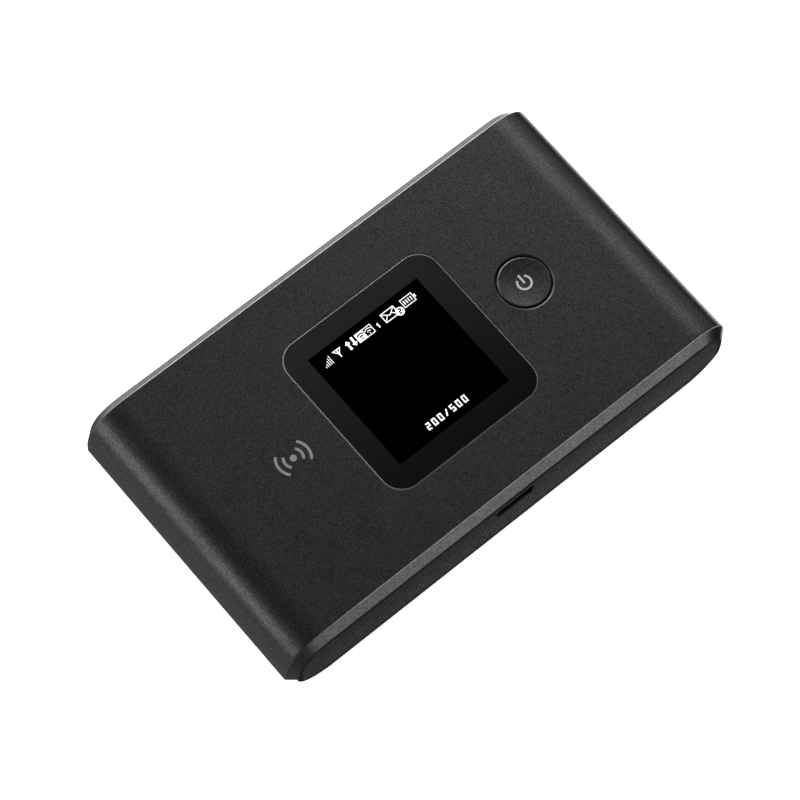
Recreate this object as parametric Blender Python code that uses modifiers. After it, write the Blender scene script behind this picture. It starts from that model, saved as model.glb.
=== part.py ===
"""Pocket mobile hotspot, lying on its back with the display facing up.

X runs along the length (power button towards +X), Y across (USB socket towards -Y), Z up.
The origin is on the resting face, under the middle of the case.
"""

import math

import bmesh
import bpy
from mathutils import Matrix, Vector

MM = 0.001
WELD = 0.001 * MM  # corners nearer than this are one

# Case
LENGTH = 100.0 * MM
WIDTH = 57.0 * MM
THICKNESS = 16.4 * MM
ROLL_RUN = 9.0 * MM  # how far the rolled end reaches along X
ROLL_DROP = 8.85 * MM  # and down Z
ROLL_POWER = 2.35  # exponent of that curve
CHAMFER_RUN = 1.7 * MM
CHAMFER_DROP = 2.05 * MM
PARTING_Z = 6.0 * MM  # lower rim of the shell's rolled ends
SHELL_WALL = 1.4 * MM
SHELL_LIP = 0.15 * MM  # flat strip under each chamfer
SEAM = 0.3 * MM  # gap between pieces that meet
FIT = 0.1 * MM  # gap between small pieces fixed to each other
LEDGE = 1.5 * MM  # width of the shell's edge that the cover's walls fit under
PAST = MM  # how far a cutter runs on past the face it opens

# Rear cover
COVER_INSET = 1.75 * MM  # how far its ends stand inside the shell's
COVER_RUN = 7.4 * MM  # reach of its curved ends along X
COVER_POWER = 1.8  # exponent of that curve
COVER_WALL = 1.3 * MM
COVER_EDGE = 0.4 * MM  # rounding of the long lower edges
COVER_TOP_EDGE = 0.2 * MM
COVER_LIP_Z = 8.4 * MM  # top of the end walls, inside the shell
NICK_Y = (-23.0 * MM, -15.0 * MM)  # notch in the rim for a finger nail
NICK_DEPTH = 0.7 * MM
NICK_HEIGHT = 1.2 * MM
CATCH_XS = [x * MM for x in (-32.0, -13.0, 20.0, 32.0)]  # hooks on the walls, and their holes in the frame
CATCH_SINK = 0.6 * MM
HOOK_ROOT = 0.3 * MM
HOOK_HALF = 2.0 * MM
HOOK_Z = (9.0 * MM, 9.8 * MM)
CATCH_HALF = 2.5 * MM
CATCH_Z = (8.7 * MM, 10.1 * MM)

# Display window and power button
WINDOW = 33.9 * MM
WINDOW_RADIUS = 4.3 * MM
WINDOW_THICKNESS = 0.75 * MM
WINDOW_BEVEL = 0.15 * MM
VIEW = 29.4 * MM  # opening under the window
VIEW_RADIUS = 2.5 * MM
ADHESIVE_DEPTH = 0.15 * MM  # from the window's back to the adhesive's
ADHESIVE_MARGIN = 0.4 * MM
ADHESIVE_RADIUS = 2.6 * MM
BUTTON_X = 26.2 * MM
BUTTON_RADIUS = 4.85 * MM
BUTTON_HOLE = 5.1 * MM
BUTTON_FLANGE = 5.9 * MM
BUTTON_DISH = 0.22 * MM
BUTTON_TOP = THICKNESS - 0.05 * MM
BUTTON_RIM = (0.3 * MM, 0.25 * MM)  # slope round the dish: across, and down
FLANGE_Z = (14.3 * MM, 14.8 * MM)
STEM_RADIUS = 1.3 * MM
STEM_LOW = 14.05 * MM

# Main board and mid frame
BOARD_LOW = 12.1 * MM
BOARD_HIGH = 12.9 * MM
BOARD_SIZE = (87.6 * MM, 51.0 * MM)
BOARD_RADIUS = 3.0 * MM
DECK_LOW = 8.7 * MM  # web of the mid frame, between board and battery
DECK_HIGH = 9.5 * MM
FRAME_LOW = 2.6 * MM
FRAME_HIGH = 12.0 * MM
FRAME_HALF_X = 44.5 * MM
FRAME_HALF_Y = 26.2 * MM
FRAME_CANT = 3.0 * MM  # how far its lower ends slope in
FRAME_CANT_HIGH = 6.0 * MM
ROOM_HALF_X = 43.0 * MM
BAY_HALF_Y = 22.0 * MM
BAY_RADIUS = 1.5 * MM
BATTERY_BAY_X = (-42.6 * MM, 16.5 * MM)
SIM_BAY_X = (20.8 * MM, 42.8 * MM)
SIM_WINDOW_X = (21.5 * MM, 41.0 * MM)
SIM_WINDOW_Y = (-20.5 * MM, 18.0 * MM)
CONNECTOR_HOLE = ((16.9 * MM, -6.0 * MM), (20.5 * MM, 6.0 * MM))
CONTACT_SLOT_LOW = Vector((15.5, -5.0, 4.4)) * MM
CONTACT_SLOT_HIGH = Vector((17.5, 5.0, 7.6)) * MM
USB_Z = 10.85 * MM
USB_MOUTH = (8.4 * MM, 2.9 * MM)
MOUTH_RADIUS = 0.9 * MM
USB_NOTCH_HALF = 4.4 * MM
UNDER_BOARD = BOARD_LOW - FIT  # top of the parts soldered below the board
ON_BOARD = BOARD_HIGH + 0.05 * MM  # bottom of the parts on top of the board

# Screws
SCREW_SPOTS = [(x * MM, y * MM) for x in (-38.0, 12.0, 38.0) for y in (-24.1, 24.1)]
SCREW_HEAD = 1.45 * MM
SCREW_SHAFT = 0.75 * MM
SCREW_LOW = 8.15 * MM
SCREW_SEAT = 9.0 * MM
SCREW_HIGH = 14.4 * MM
SCREW_SLACK = 0.05 * MM  # under the head
SCREW_RIM = (0.3 * MM, 0.25 * MM)  # slope round the head: across, and up
RECESS_REACH = 0.8 * MM
RECESS_HALF = 0.2 * MM
RECESS_DEPTH = 0.4 * MM
HEAD_ROOM = 1.75 * MM
SCREW_HOLE = 1.0 * MM
BOSS_RADIUS = 1.9 * MM
BOSS_HOLE = 0.95 * MM
BOSS_ROOT = 0.4 * MM  # overlap with the shell
BOSS_SKIN = 0.2 * MM  # left under the end of the hole

# Battery and its contacts
BATTERY_LOW = Vector((-42.2, -21.6, 1.9)) * MM
BATTERY_HIGH = Vector((15.8, 21.6, 8.3)) * MM
BATTERY_EDGE = 1.2 * MM
CONTACT_YS = [y * MM for y in (-3.2, 0.0, 3.2)]
PAD_GAP = 0.04 * MM
PAD_THICKNESS = 0.1 * MM
PAD_HALF_Y = 0.9 * MM
PAD_Z = (4.3 * MM, 7.1 * MM)
SPRING_X = (16.25 * MM, 17.15 * MM)
SPRING_HALF_Y = 0.6 * MM
SPRING_Z = (4.9 * MM, 7.2 * MM)
SPRING_EDGE = 0.25 * MM
HOLDER_LOW = Vector((17.25, -5.5, 3.4)) * MM
HOLDER_HIGH = Vector((20.2 * MM, 5.5 * MM, UNDER_BOARD))

# Display stack
SCREEN_FRAME_LOW = Vector((-15.4 * MM, -17.6 * MM, ON_BOARD))
SCREEN_FRAME_HIGH = Vector((15.4, 15.4, 14.6)) * MM
SCREEN_FRAME_WALL = 0.7 * MM
SCREEN_FLOOR = 13.15 * MM
GUIDE_GAP = 0.4 * MM  # between the light guide and the frame's wall
GUIDE_Z = (13.2 * MM, 13.72 * MM)
GLASS_GAP = 0.3 * MM
GLASS_Z = (13.8 * MM, 14.6 * MM)
TAIL_PATH = [(x * MM, z * MM) for x, z in ((-14.5, 14.12), (-16.5, 14.12), (-18.5, 13.52), (-22.4, 13.52))]
TAIL_THICKNESS = 0.12 * MM
TAIL_HALF = 5.0 * MM
TAIL_GAP_X = (-16.0 * MM, -14.4 * MM)
TAIL_GAP_LOW = 13.85 * MM
SOCKET_LOW = Vector((-24.5 * MM, -6.5 * MM, ON_BOARD))
SOCKET_HIGH = Vector((-20.4, 6.5, 13.95)) * MM
SOCKET_SLOT_LOW = Vector((-23.0, -5.3, 13.3)) * MM
SOCKET_SLOT_HIGH = Vector((-19.0, 5.3, 13.62)) * MM
GASKET_SIDES = (31.2 * MM, 28.0 * MM)
GASKET_RADII = (2.0 * MM, 1.5 * MM)
GASKET_Z = (14.66 * MM, 14.94 * MM)

# Micro-USB socket
USB_HALF_X = 3.75 * MM
USB_TOP = 12.05 * MM
USB_BOTTOM = 9.65 * MM
USB_CORNER = 1.0 * MM
USB_WALL = 0.3 * MM
USB_Y = (-26.8 * MM, -21.4 * MM)
USB_BACK = 0.4 * MM
TONGUE_LOW = Vector((-2.5, -26.0, 11.05)) * MM
TONGUE_HIGH = Vector((2.5, -21.9, 11.6)) * MM

# SIM socket and card
SIM_LOW = Vector((22.5, -19.0, 10.4)) * MM
SIM_HIGH = Vector((37.5 * MM, -3.0 * MM, UNDER_BOARD))
SIM_SIDE = 1.1 * MM
SIM_FLOOR = 0.35 * MM
SIM_LID_WINDOW = ((26.0 * MM, -14.0 * MM), (34.0 * MM, -8.0 * MM))
SIM_BLOCK_LOW = Vector((24.4, -17.4, 11.74)) * MM
SIM_BLOCK_HIGH = Vector((35.6 * MM, -4.0 * MM, UNDER_BOARD))
CARD_LOW = (24.0 * MM, -17.3 * MM)
CARD_HIGH = (36.0 * MM, -2.3 * MM)
CARD_Z = (10.86 * MM, 11.62 * MM)

# Switches: block size along X and Y, where it stands, and how far its plunger reaches
POWER_SWITCH_SIZE = (4.5 * MM, 4.5 * MM)
POWER_SWITCH_Z = (ON_BOARD, ON_BOARD + 0.65 * MM)
POWER_SWITCH_TIP = 13.95 * MM
RESET_SWITCH_AT = (38.5 * MM, 12.0 * MM)
RESET_SWITCH_SIZE = (3.4 * MM, 3.0 * MM)
RESET_SWITCH_Z = (10.6 * MM, UNDER_BOARD)
RESET_SWITCH_TIP = 9.9 * MM
SWITCH_FLOOR = 0.15 * MM
SWITCH_BORE = 1.05 * MM
PLUNGER_RADIUS = 0.85 * MM
PLUNGER_ROOM = 0.35 * MM  # free depth behind the plunger

# Shield cans as (x low, y low, x high, y high), and chips as (x, y, length, width, height), in millimetres
SHIELD_WALL = 0.2 * MM
SHIELD_UNDER = 1.7 * MM  # height below the board
SHIELD_OVER = 1.4 * MM  # and above it
SHIELDS_UNDER = {
    "baseband_shield": (-40.0, -20.0, -12.0, 8.0),
    "radio_shield": (-40.0, 10.0, -18.0, 21.0),
    "power_shield": (-9.0, -18.0, 11.0, -2.0),
}
SHIELDS_OVER = {"wifi_shield": (-41.0, -12.0, -27.5, 4.0)}
CHIPS_UNDER = {
    "baseband_chip": (-30.0, -8.0, 13.0, 13.0, 1.0),
    "memory_chip": (-17.5, -8.0, 8.0, 11.0, 0.9),
    "radio_chip": (-34.0, 15.5, 7.0, 7.0, 0.9),
    "amplifier_chip": (-24.0, 15.5, 5.0, 4.0, 0.9),
    "power_chip": (1.0, -10.0, 6.0, 6.0, 0.9),
}
CHIPS_OVER = {"wifi_chip": (-34.5, -4.0, 6.0, 6.0, 0.8)}
THERMAL_PAD = ((-37.0 * MM, -16.0 * MM), (-23.0 * MM, 0.0))
BAY_LABEL = ((-30.0 * MM, -14.0 * MM), (6.0 * MM, 14.0 * MM))

# Antennas
CARRIER_LOW = Vector((44.9, -21.0, 9.0)) * MM
CARRIER_HIGH = Vector((47.1, 21.0, 12.2)) * MM
CARRIER_EDGE = 0.3 * MM
FOIL_LOW = Vector((47.2, -19.0, 9.4)) * MM
FOIL_HIGH = Vector((47.32, 19.0, 11.5)) * MM
FOIL_SLOT_YS = [y * MM for y in (-13.0, -7.0, -1.0, 5.0, 11.0)]
FOIL_SLOT_WIDTH = 1.5 * MM
FOIL_SLOT_ZS = ((10.2 * MM, 11.9 * MM), (9.0 * MM, 11.0 * MM))  # open at the top, then at the bottom
STRIP_LOW = Vector((-33.0, 20.6, 14.1)) * MM
STRIP_HIGH = Vector((-17.0, 23.4, 14.35)) * MM
STRIP_LEG_XS = (-33.0 * MM, -29.0 * MM)
STRIP_LEG = (1.2 * MM, 0.25 * MM)

ARC_STEPS = 14  # segments in each curved end
ROUND_SIDES = 48
SMALL_SIDES = 20


def clear_scene():
    for obj in list(bpy.data.objects):
        bpy.data.objects.remove(obj)


def collection(name):
    made = bpy.data.collections.new(name)
    bpy.context.scene.collection.children.link(made)
    return made


def finish(obj, colour, roughness, metallic=0.0):
    """Gives the object its own Principled material."""
    material = bpy.data.materials.new(obj.name + "_finish")
    material.use_nodes = True
    shader = material.node_tree.nodes["Principled BSDF"]
    shader.inputs["Base Color"].default_value = (*colour, 1.0)
    shader.inputs["Roughness"].default_value = roughness
    shader.inputs["Metallic"].default_value = metallic
    material.diffuse_color = (*colour, 1.0)
    obj.data.materials.append(material)
    return obj


def body(name, mesh, home=None):
    obj = bpy.data.objects.new(name, mesh)
    (home or PARTS).objects.link(obj)
    if home is CUTTERS:
        obj.hide_render = True
        obj.display_type = "WIRE"
    return obj


def mesh_from(name, fill):
    """A mesh that the function fill makes in a bmesh, with its normals facing out."""
    work = bmesh.new()
    fill(work)
    bmesh.ops.recalc_face_normals(work, faces=work.faces)
    mesh = bpy.data.meshes.new(name)
    work.to_mesh(mesh)
    work.free()
    return mesh


def box(name, low, high, home=None):
    low, high = Vector(low), Vector(high)
    size = Matrix.Diagonal((*(high - low), 1.0))
    place = Matrix.Translation((low + high) / 2) @ size
    mesh = mesh_from(name, lambda work: bmesh.ops.create_cube(work, size=1.0, matrix=place))
    return body(name, mesh, home)


def cylinder(name, radius, low, high, at, sides=SMALL_SIDES, home=None):
    place = Matrix.Translation((at[0], at[1], (low + high) / 2))
    shape = {"segments": sides, "radius1": radius, "radius2": radius, "depth": high - low}

    def fill(work):
        bmesh.ops.create_cone(work, cap_ends=True, matrix=place, **shape)

    return body(name, mesh_from(name, fill), home)


def prism(name, outline, low, high, axis="Z", home=None):
    """A flat outline made thick: (x, y) points along Z, or (x, z) points along Y."""
    curve = bpy.data.curves.new(name, "CURVE")
    curve.dimensions = "2D"
    curve.fill_mode = "BOTH"
    curve.extrude = (high - low) / 2
    spline = curve.splines.new("POLY")
    spline.points.add(len(outline) - 1)
    for point, (u, v) in zip(spline.points, outline):
        point.co = (u, v, 0.0, 1.0)
    spline.use_cyclic_u = True
    drawn = bpy.data.objects.new(name + "_outline", curve)
    bpy.context.scene.collection.objects.link(drawn)
    middle = (low + high) / 2
    if axis == "Z":
        drawn.matrix_world = Matrix.Translation((0.0, 0.0, middle))
    else:
        drawn.matrix_world = Matrix.Translation((0.0, middle, 0.0)) @ Matrix.Rotation(math.pi / 2, 4, "X")
    bpy.context.view_layer.update()
    mesh = bpy.data.meshes.new_from_object(drawn.evaluated_get(bpy.context.evaluated_depsgraph_get()))
    mesh.transform(drawn.matrix_world)
    bpy.data.objects.remove(drawn)
    work = bmesh.new()
    work.from_mesh(mesh)
    bmesh.ops.remove_doubles(work, verts=work.verts, dist=WELD)
    bmesh.ops.recalc_face_normals(work, faces=work.faces)
    work.to_mesh(mesh)
    work.free()
    mesh.name = name
    return body(name, mesh, home)


def loft(name, sections):
    """A solid skin through closed sections that have equally many points, with a cap at each end."""

    def fill(work):
        rings = [[work.verts.new(point) for point in section] for section in sections]
        for ring, following in zip(rings, rings[1:]):
            for i in range(len(ring)):
                j = (i + 1) % len(ring)
                work.faces.new((ring[i], ring[j], following[j], following[i]))
        work.faces.new(rings[0])
        work.faces.new(rings[-1])

    return body(name, mesh_from(name, fill))


def turned(name, profile, at, sides):
    """A profile of (radius, z) points, listed from the top down, turned about the vertical through at."""
    mesh = bpy.data.meshes.new(name)
    points = [(radius, 0.0, z) for radius, z in profile]
    mesh.from_pydata(points, [(i, i + 1) for i in range(len(points) - 1)], [])
    obj = body(name, mesh)
    obj.location = (at[0], at[1], 0.0)
    screw = obj.modifiers.new("turn", "SCREW")
    screw.steps = screw.render_steps = sides
    screw.use_merge_vertices = True
    screw.merge_threshold = WELD
    return obj


def combine(obj, other, operation):
    modifier = obj.modifiers.new(other.name, "BOOLEAN")
    modifier.operation = operation
    modifier.solver = "EXACT"
    modifier.object = other


def cut(obj, *cutters):
    for cutter in cutters:
        combine(obj, cutter, "DIFFERENCE")


def join(obj, *others):
    for other in others:
        combine(obj, other, "UNION")


def bevel(obj, width, segments=1, angle=math.radians(60)):
    modifier = obj.modifiers.new("edges", "BEVEL")
    modifier.width = width
    modifier.segments = segments
    modifier.limit_method = "ANGLE"
    modifier.angle_limit = angle


def mirrored(points):
    """The points, then their mirror images in X in reverse order."""
    return points + [(-x, z) for x, z in reversed(points)]


def rounded_rectangle(low, high, radius, steps=5):
    """Corner points of a rectangle with rounded corners, counter-clockwise."""
    outline = []
    corners = (
        (high[0] - radius, high[1] - radius, 0),
        (low[0] + radius, high[1] - radius, 1),
        (low[0] + radius, low[1] + radius, 2),
        (high[0] - radius, low[1] + radius, 3),
    )
    for x, y, quarter in corners:
        for step in range(steps + 1):
            angle = (quarter + step / steps) * math.pi / 2
            outline.append((x + radius * math.cos(angle), y + radius * math.sin(angle)))
    return outline


def square(side, radius, steps=6):
    return rounded_rectangle((-side / 2, -side / 2), (side / 2, side / 2), radius, steps)


def roll_arc(inset):
    """(x, z) points of the shell's +X end, from the lower rim up to the flat, moved in by inset."""
    power = ROLL_POWER
    points = []
    for step in range(ARC_STEPS + 1):
        angle = math.pi / 2 * (1 - step / ARC_STEPS)
        across = math.sin(angle) ** (2 / power)
        up = math.cos(angle) ** (2 / power)
        normal = Vector((across ** (power - 1) / ROLL_RUN, up ** (power - 1) / ROLL_DROP)).normalized()
        x = LENGTH / 2 - ROLL_RUN + ROLL_RUN * across - inset * normal.x
        z = THICKNESS - ROLL_DROP + ROLL_DROP * up - inset * normal.y
        points.append((x, z))
    return points


def shell_outline(inset, low):
    """The shell's whole (x, z) outline moved in by inset, closed along z = low."""
    return mirrored([(LENGTH / 2 - inset, low)] + roll_arc(inset))


def belly_arc(inset):
    """(x, z) points of the cover's curved +X end, from the resting face to the rim, moved in by inset."""
    centre = LENGTH / 2 - COVER_INSET - COVER_RUN
    top = PARTING_Z - SEAM
    power = COVER_POWER
    points = []
    for step in range(ARC_STEPS + 1):
        angle = math.pi / 2 * (1 - step / ARC_STEPS)
        across = math.cos(angle) ** (2 / power)
        down = math.sin(angle) ** (2 / power)
        normal = Vector((across ** (power - 1) / COVER_RUN, -(down ** (power - 1)) / top)).normalized()
        x = centre + COVER_RUN * across - inset * normal.x
        z = top * (1 - down) - inset * normal.y
        points.append((x, z))
    return points


def cover_outline(belly_inset, top_inset):
    """The cover's (x, z) outline: curved belly, small step at the rim, then the walls' rolled top."""
    neck = CHAMFER_DROP + SHELL_LIP + SEAM + top_inset
    rim = PARTING_Z - SEAM
    step = [(LENGTH / 2 - neck, rim)]
    return mirrored(belly_arc(belly_inset) + step + roll_arc(neck))


def across(outline, y):
    return [(x, y, z) for x, z in outline]


def make_front_shell():
    half = WIDTH / 2
    full = shell_outline(0.0, PARTING_Z)
    small = shell_outline(CHAMFER_DROP, PARTING_Z)
    stations = ((-half, small), (CHAMFER_RUN - half, full), (half - CHAMFER_RUN, full), (half, small))
    shell = loft("front_shell", [across(outline, y) for y, outline in stations])
    past = half + 2 * PAST
    reach = half - LEDGE
    under = PARTING_Z - 2 * PAST
    lip = shell_outline(CHAMFER_DROP + SHELL_LIP, under)
    edge_cut = prism("shell_edge_cut", lip, -past, past, "Y", CUTTERS)
    room_cut = prism("shell_room_cut", shell_outline(SHELL_WALL, under), -reach, reach, "Y", CUTTERS)
    cut(shell, edge_cut, room_cut)
    boss_low = BOARD_HIGH + FIT
    ceiling = THICKNESS - SHELL_WALL
    for number, spot in enumerate(SCREW_SPOTS, 1):
        root = ceiling + BOSS_ROOT
        join(shell, cylinder(f"shell_boss_{number}", BOSS_RADIUS, boss_low, root, spot, home=CUTTERS))
    for number, spot in enumerate(SCREW_SPOTS, 1):
        foot = ceiling - BOSS_SKIN
        cut(shell, cylinder(f"boss_hole_{number}", BOSS_HOLE, boss_low - PAST, foot, spot, home=CUTTERS))
    above = THICKNESS + PAST
    ledge = THICKNESS - WINDOW_THICKNESS - 2 * FIT
    pocket_outline = square(WINDOW + 2 * FIT, WINDOW_RADIUS + FIT)
    pocket = prism("window_pocket", pocket_outline, ledge, above, "Z", CUTTERS)
    view = prism("view_opening", square(VIEW, VIEW_RADIUS), ceiling - PAST, above, "Z", CUTTERS)
    hole = cylinder("button_hole", BUTTON_HOLE, ceiling - PAST, above, (BUTTON_X, 0.0), ROUND_SIDES, CUTTERS)
    cut(shell, pocket, view, hole)
    return finish(shell, (0.035, 0.035, 0.037), 0.45)


def make_rear_cover():
    half = WIDTH / 2
    turns = [math.radians(angle) for angle in (0, 30, 60, 90)]
    insets = [(half - COVER_EDGE * (1 - math.sin(turn)), 1 - math.cos(turn)) for turn in reversed(turns)]
    stations = [(y, COVER_EDGE * share, COVER_TOP_EDGE * share) for y, share in insets]
    stations = [(-y, low, top) for y, low, top in stations] + stations[::-1]
    cover = loft("rear_cover", [across(cover_outline(low, top), y) for y, low, top in stations])
    reach = half - COVER_WALL
    above = THICKNESS + PAST
    inner = belly_arc(COVER_WALL)
    over_lip = [(inner[-1][0], COVER_LIP_Z), (LENGTH, above)]
    hollow = prism("cover_hollow", mirrored(inner + over_lip), -reach, reach, "Y", CUTTERS)
    mouth_x, mouth_z = USB_MOUTH[0] / 2, USB_MOUTH[1] / 2
    mouth_outline = rounded_rectangle((-mouth_x, USB_Z - mouth_z), (mouth_x, USB_Z + mouth_z), MOUTH_RADIUS)
    mouth = prism("usb_mouth", mouth_outline, -half - PAST, PAST - reach, "Y", CUTTERS)
    nick_low = (LENGTH / 2 - COVER_INSET - NICK_DEPTH, NICK_Y[0], PARTING_Z - NICK_HEIGHT)
    nick = box("nail_nick", nick_low, (LENGTH, NICK_Y[1], PARTING_Z), CUTTERS)
    cut(cover, hollow, mouth, nick)
    for side in (-1, 1):
        for number, x in enumerate(CATCH_XS, 1):
            near, far = sorted((side * (reach - CATCH_SINK), side * (reach + HOOK_ROOT)))
            low, high = (x - HOOK_HALF, near, HOOK_Z[0]), (x + HOOK_HALF, far, HOOK_Z[1])
            join(cover, box(f"cover_hook_{'far' if side > 0 else 'near'}_{number}", low, high, CUTTERS))
    return finish(cover, (0.03, 0.03, 0.032), 0.6)


def make_window():
    top = THICKNESS
    pane = prism("display_window", square(WINDOW, WINDOW_RADIUS), top - WINDOW_THICKNESS, top)
    bevel(pane, WINDOW_BEVEL)
    finish(pane, (0.006, 0.006, 0.007), 0.08)
    glue_low = top - WINDOW_THICKNESS - ADHESIVE_DEPTH
    margin = ADHESIVE_MARGIN
    glue_outline = square(WINDOW - 2 * margin, WINDOW_RADIUS - margin)
    glue = prism("window_adhesive", glue_outline, glue_low, glue_low + FIT)
    hole_outline = square(VIEW + margin, ADHESIVE_RADIUS)
    cut(glue, prism("adhesive_hole", hole_outline, glue_low - PAST, glue_low + PAST, "Z", CUTTERS))
    finish(glue, (0.02, 0.02, 0.02), 0.7)


def make_power_button():
    rim = BUTTON_RADIUS - BUTTON_RIM[0]
    shares = (0.0, 0.25, 0.5, 0.75, 0.9, 1.0)
    dish = [(rim * share, BUTTON_TOP - BUTTON_DISH * (1 - share**2)) for share in shares]
    flange_low, flange_high = FLANGE_Z
    side = [(BUTTON_RADIUS, BUTTON_TOP - BUTTON_RIM[1]), (BUTTON_RADIUS, flange_high)]
    flange = [(BUTTON_FLANGE, flange_high), (BUTTON_FLANGE, flange_low)]
    stem = [(STEM_RADIUS, flange_low), (STEM_RADIUS, STEM_LOW), (0.0, STEM_LOW)]
    button = turned("power_button", dish + side + flange + stem, (BUTTON_X, 0.0), ROUND_SIDES)
    finish(button, (0.045, 0.045, 0.047), 0.4)
    parent(button, "power_button_press", (BUTTON_X, 0.0, 0.0))
    make_switch("power_switch", (BUTTON_X, 0.0), POWER_SWITCH_SIZE, *POWER_SWITCH_Z, POWER_SWITCH_TIP)


def make_switch(name, at, size, low, high, tip):
    """A tact switch: a block with a blind hole, and the plunger that stands out of it towards tip."""
    half_x, half_y = size[0] / 2, size[1] / 2
    corners = (at[0] - half_x, at[1] - half_y, low), (at[0] + half_x, at[1] + half_y, high)
    housing = box(f"{name}_body", *corners)
    up = tip > high
    foot = low + SWITCH_FLOOR if up else high - SWITCH_FLOOR
    mouth = high + PAST if up else low - PAST
    bore = cylinder(f"{name}_bore", SWITCH_BORE, min(foot, mouth), max(foot, mouth), at, home=CUTTERS)
    cut(housing, bore)
    finish(housing, (0.5, 0.5, 0.52), 0.35, 1.0)
    start = foot + PLUNGER_ROOM if up else foot - PLUNGER_ROOM
    plunger = cylinder(f"{name}_plunger", PLUNGER_RADIUS, min(start, tip), max(start, tip), at)
    finish(plunger, (0.08, 0.08, 0.08), 0.5)
    parent(plunger, f"{name}_travel", (*at, 0.0))


def make_mid_frame():
    half = FRAME_HALF_X
    side = [(half - FRAME_CANT, FRAME_LOW), (half, FRAME_CANT_HIGH), (half, FRAME_HIGH)]
    frame = prism("mid_frame", mirrored(side), -FRAME_HALF_Y, FRAME_HALF_Y, "Y")
    below, above = FRAME_LOW - PAST, FRAME_HIGH + PAST
    bay = BAY_HALF_Y
    room = rounded_rectangle((-ROOM_HALF_X, -bay), (ROOM_HALF_X, bay), BAY_RADIUS, 3)
    battery_bay = rounded_rectangle((BATTERY_BAY_X[0], -bay), (BATTERY_BAY_X[1], bay), BAY_RADIUS, 3)
    sim_bay = rounded_rectangle((SIM_BAY_X[0], -bay), (SIM_BAY_X[1], bay), BAY_RADIUS, 3)
    sim_window = rounded_rectangle(*zip(SIM_WINDOW_X, SIM_WINDOW_Y), MM, 2)
    hole_low, hole_high = CONNECTOR_HOLE
    notch_low = (-USB_NOTCH_HALF, -WIDTH, DECK_HIGH)
    notch_high = (USB_NOTCH_HALF, PAST - BAY_HALF_Y, above)
    cut(
        frame,
        prism("board_room", room, DECK_HIGH, above, "Z", CUTTERS),
        prism("battery_bay", battery_bay, below, DECK_LOW, "Z", CUTTERS),
        prism("sim_bay", sim_bay, below, DECK_LOW, "Z", CUTTERS),
        prism("sim_window", sim_window, DECK_LOW - PAST, DECK_HIGH + PAST, "Z", CUTTERS),
        box("connector_hole", (*hole_low, below), (*hole_high, above), CUTTERS),
        box("contact_slot", CONTACT_SLOT_LOW, CONTACT_SLOT_HIGH, CUTTERS),
        box("usb_notch", notch_low, notch_high, CUTTERS),
    )
    for number, spot in enumerate(SCREW_SPOTS, 1):
        hole = cylinder(f"frame_hole_{number}", SCREW_HOLE, below, above, spot, home=CUTTERS)
        head_room = cylinder(f"frame_head_room_{number}", HEAD_ROOM, below, SCREW_SEAT, spot, home=CUTTERS)
        cut(frame, hole, head_room)
    for side_of_y in (-1, 1):
        for number, x in enumerate(CATCH_XS, 1):
            near, far = sorted((side_of_y * (FRAME_HALF_Y - CATCH_SINK), side_of_y * (FRAME_HALF_Y + PAST)))
            low, high = (x - CATCH_HALF, near, CATCH_Z[0]), (x + CATCH_HALF, far, CATCH_Z[1])
            cut(frame, box(f"catch_{'far' if side_of_y > 0 else 'near'}_{number}", low, high, CUTTERS))
    return finish(frame, (0.05, 0.05, 0.052), 0.6)


def make_main_board():
    half_x, half_y = BOARD_SIZE[0] / 2, BOARD_SIZE[1] / 2
    outline = rounded_rectangle((-half_x, -half_y), (half_x, half_y), BOARD_RADIUS, 3)
    board = prism("main_board", outline, BOARD_LOW, BOARD_HIGH)
    for number, spot in enumerate(SCREW_SPOTS, 1):
        span = (BOARD_LOW - PAST, BOARD_HIGH + PAST)
        cut(board, cylinder(f"board_hole_{number}", SCREW_HOLE, *span, spot, home=CUTTERS))
    return finish(board, (0.02, 0.12, 0.07), 0.5)


def inset_corners(low, high, inset, heights):
    """Low and high corners moved in by inset along X and Y, between the two heights."""
    inner_low = (low[0] + inset, low[1] + inset, heights[0])
    return inner_low, (high[0] - inset, high[1] - inset, heights[1])


def make_display():
    low, high = SCREEN_FRAME_LOW, SCREEN_FRAME_HIGH
    wall, above = SCREEN_FRAME_WALL, SCREEN_FRAME_HIGH.z + PAST
    frame = box("lcd_frame", low, high)
    room = box("lcd_room", *inset_corners(low, high, wall, (SCREEN_FLOOR, above)), CUTTERS)
    gap = TAIL_HALF + GUIDE_GAP
    gap_low, gap_high = (TAIL_GAP_X[0], -gap, TAIL_GAP_LOW), (TAIL_GAP_X[1], gap, above)
    cut(frame, room, box("lcd_tail_gap", gap_low, gap_high, CUTTERS))
    finish(frame, (0.75, 0.75, 0.76), 0.35)
    guide = box("lcd_light_guide", *inset_corners(low, high, wall + GUIDE_GAP, GUIDE_Z))
    finish(guide, (0.85, 0.86, 0.88), 0.2)
    glass = box("lcd_glass", *inset_corners(low, high, wall + GLASS_GAP, GLASS_Z))
    finish(glass, (0.01, 0.01, 0.012), 0.1)
    lower = [(x, z - TAIL_THICKNESS) for x, z in reversed(TAIL_PATH)]
    tail = prism("lcd_flex", TAIL_PATH + lower, -TAIL_HALF, TAIL_HALF, "Y")
    finish(tail, (0.45, 0.2, 0.04), 0.4)
    socket = box("flex_connector", SOCKET_LOW, SOCKET_HIGH)
    cut(socket, box("flex_slot", SOCKET_SLOT_LOW, SOCKET_SLOT_HIGH, CUTTERS))
    finish(socket, (0.7, 0.68, 0.6), 0.5)
    outlines = [square(side, radius, 3) for side, radius in zip(GASKET_SIDES, GASKET_RADII)]
    gasket = prism("screen_gasket", outlines[0], *GASKET_Z)
    cut(gasket, prism("gasket_hole", outlines[1], GASKET_Z[0] - PAST, GASKET_Z[1] + PAST, "Z", CUTTERS))
    finish(gasket, (0.02, 0.02, 0.02), 0.9)


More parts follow.
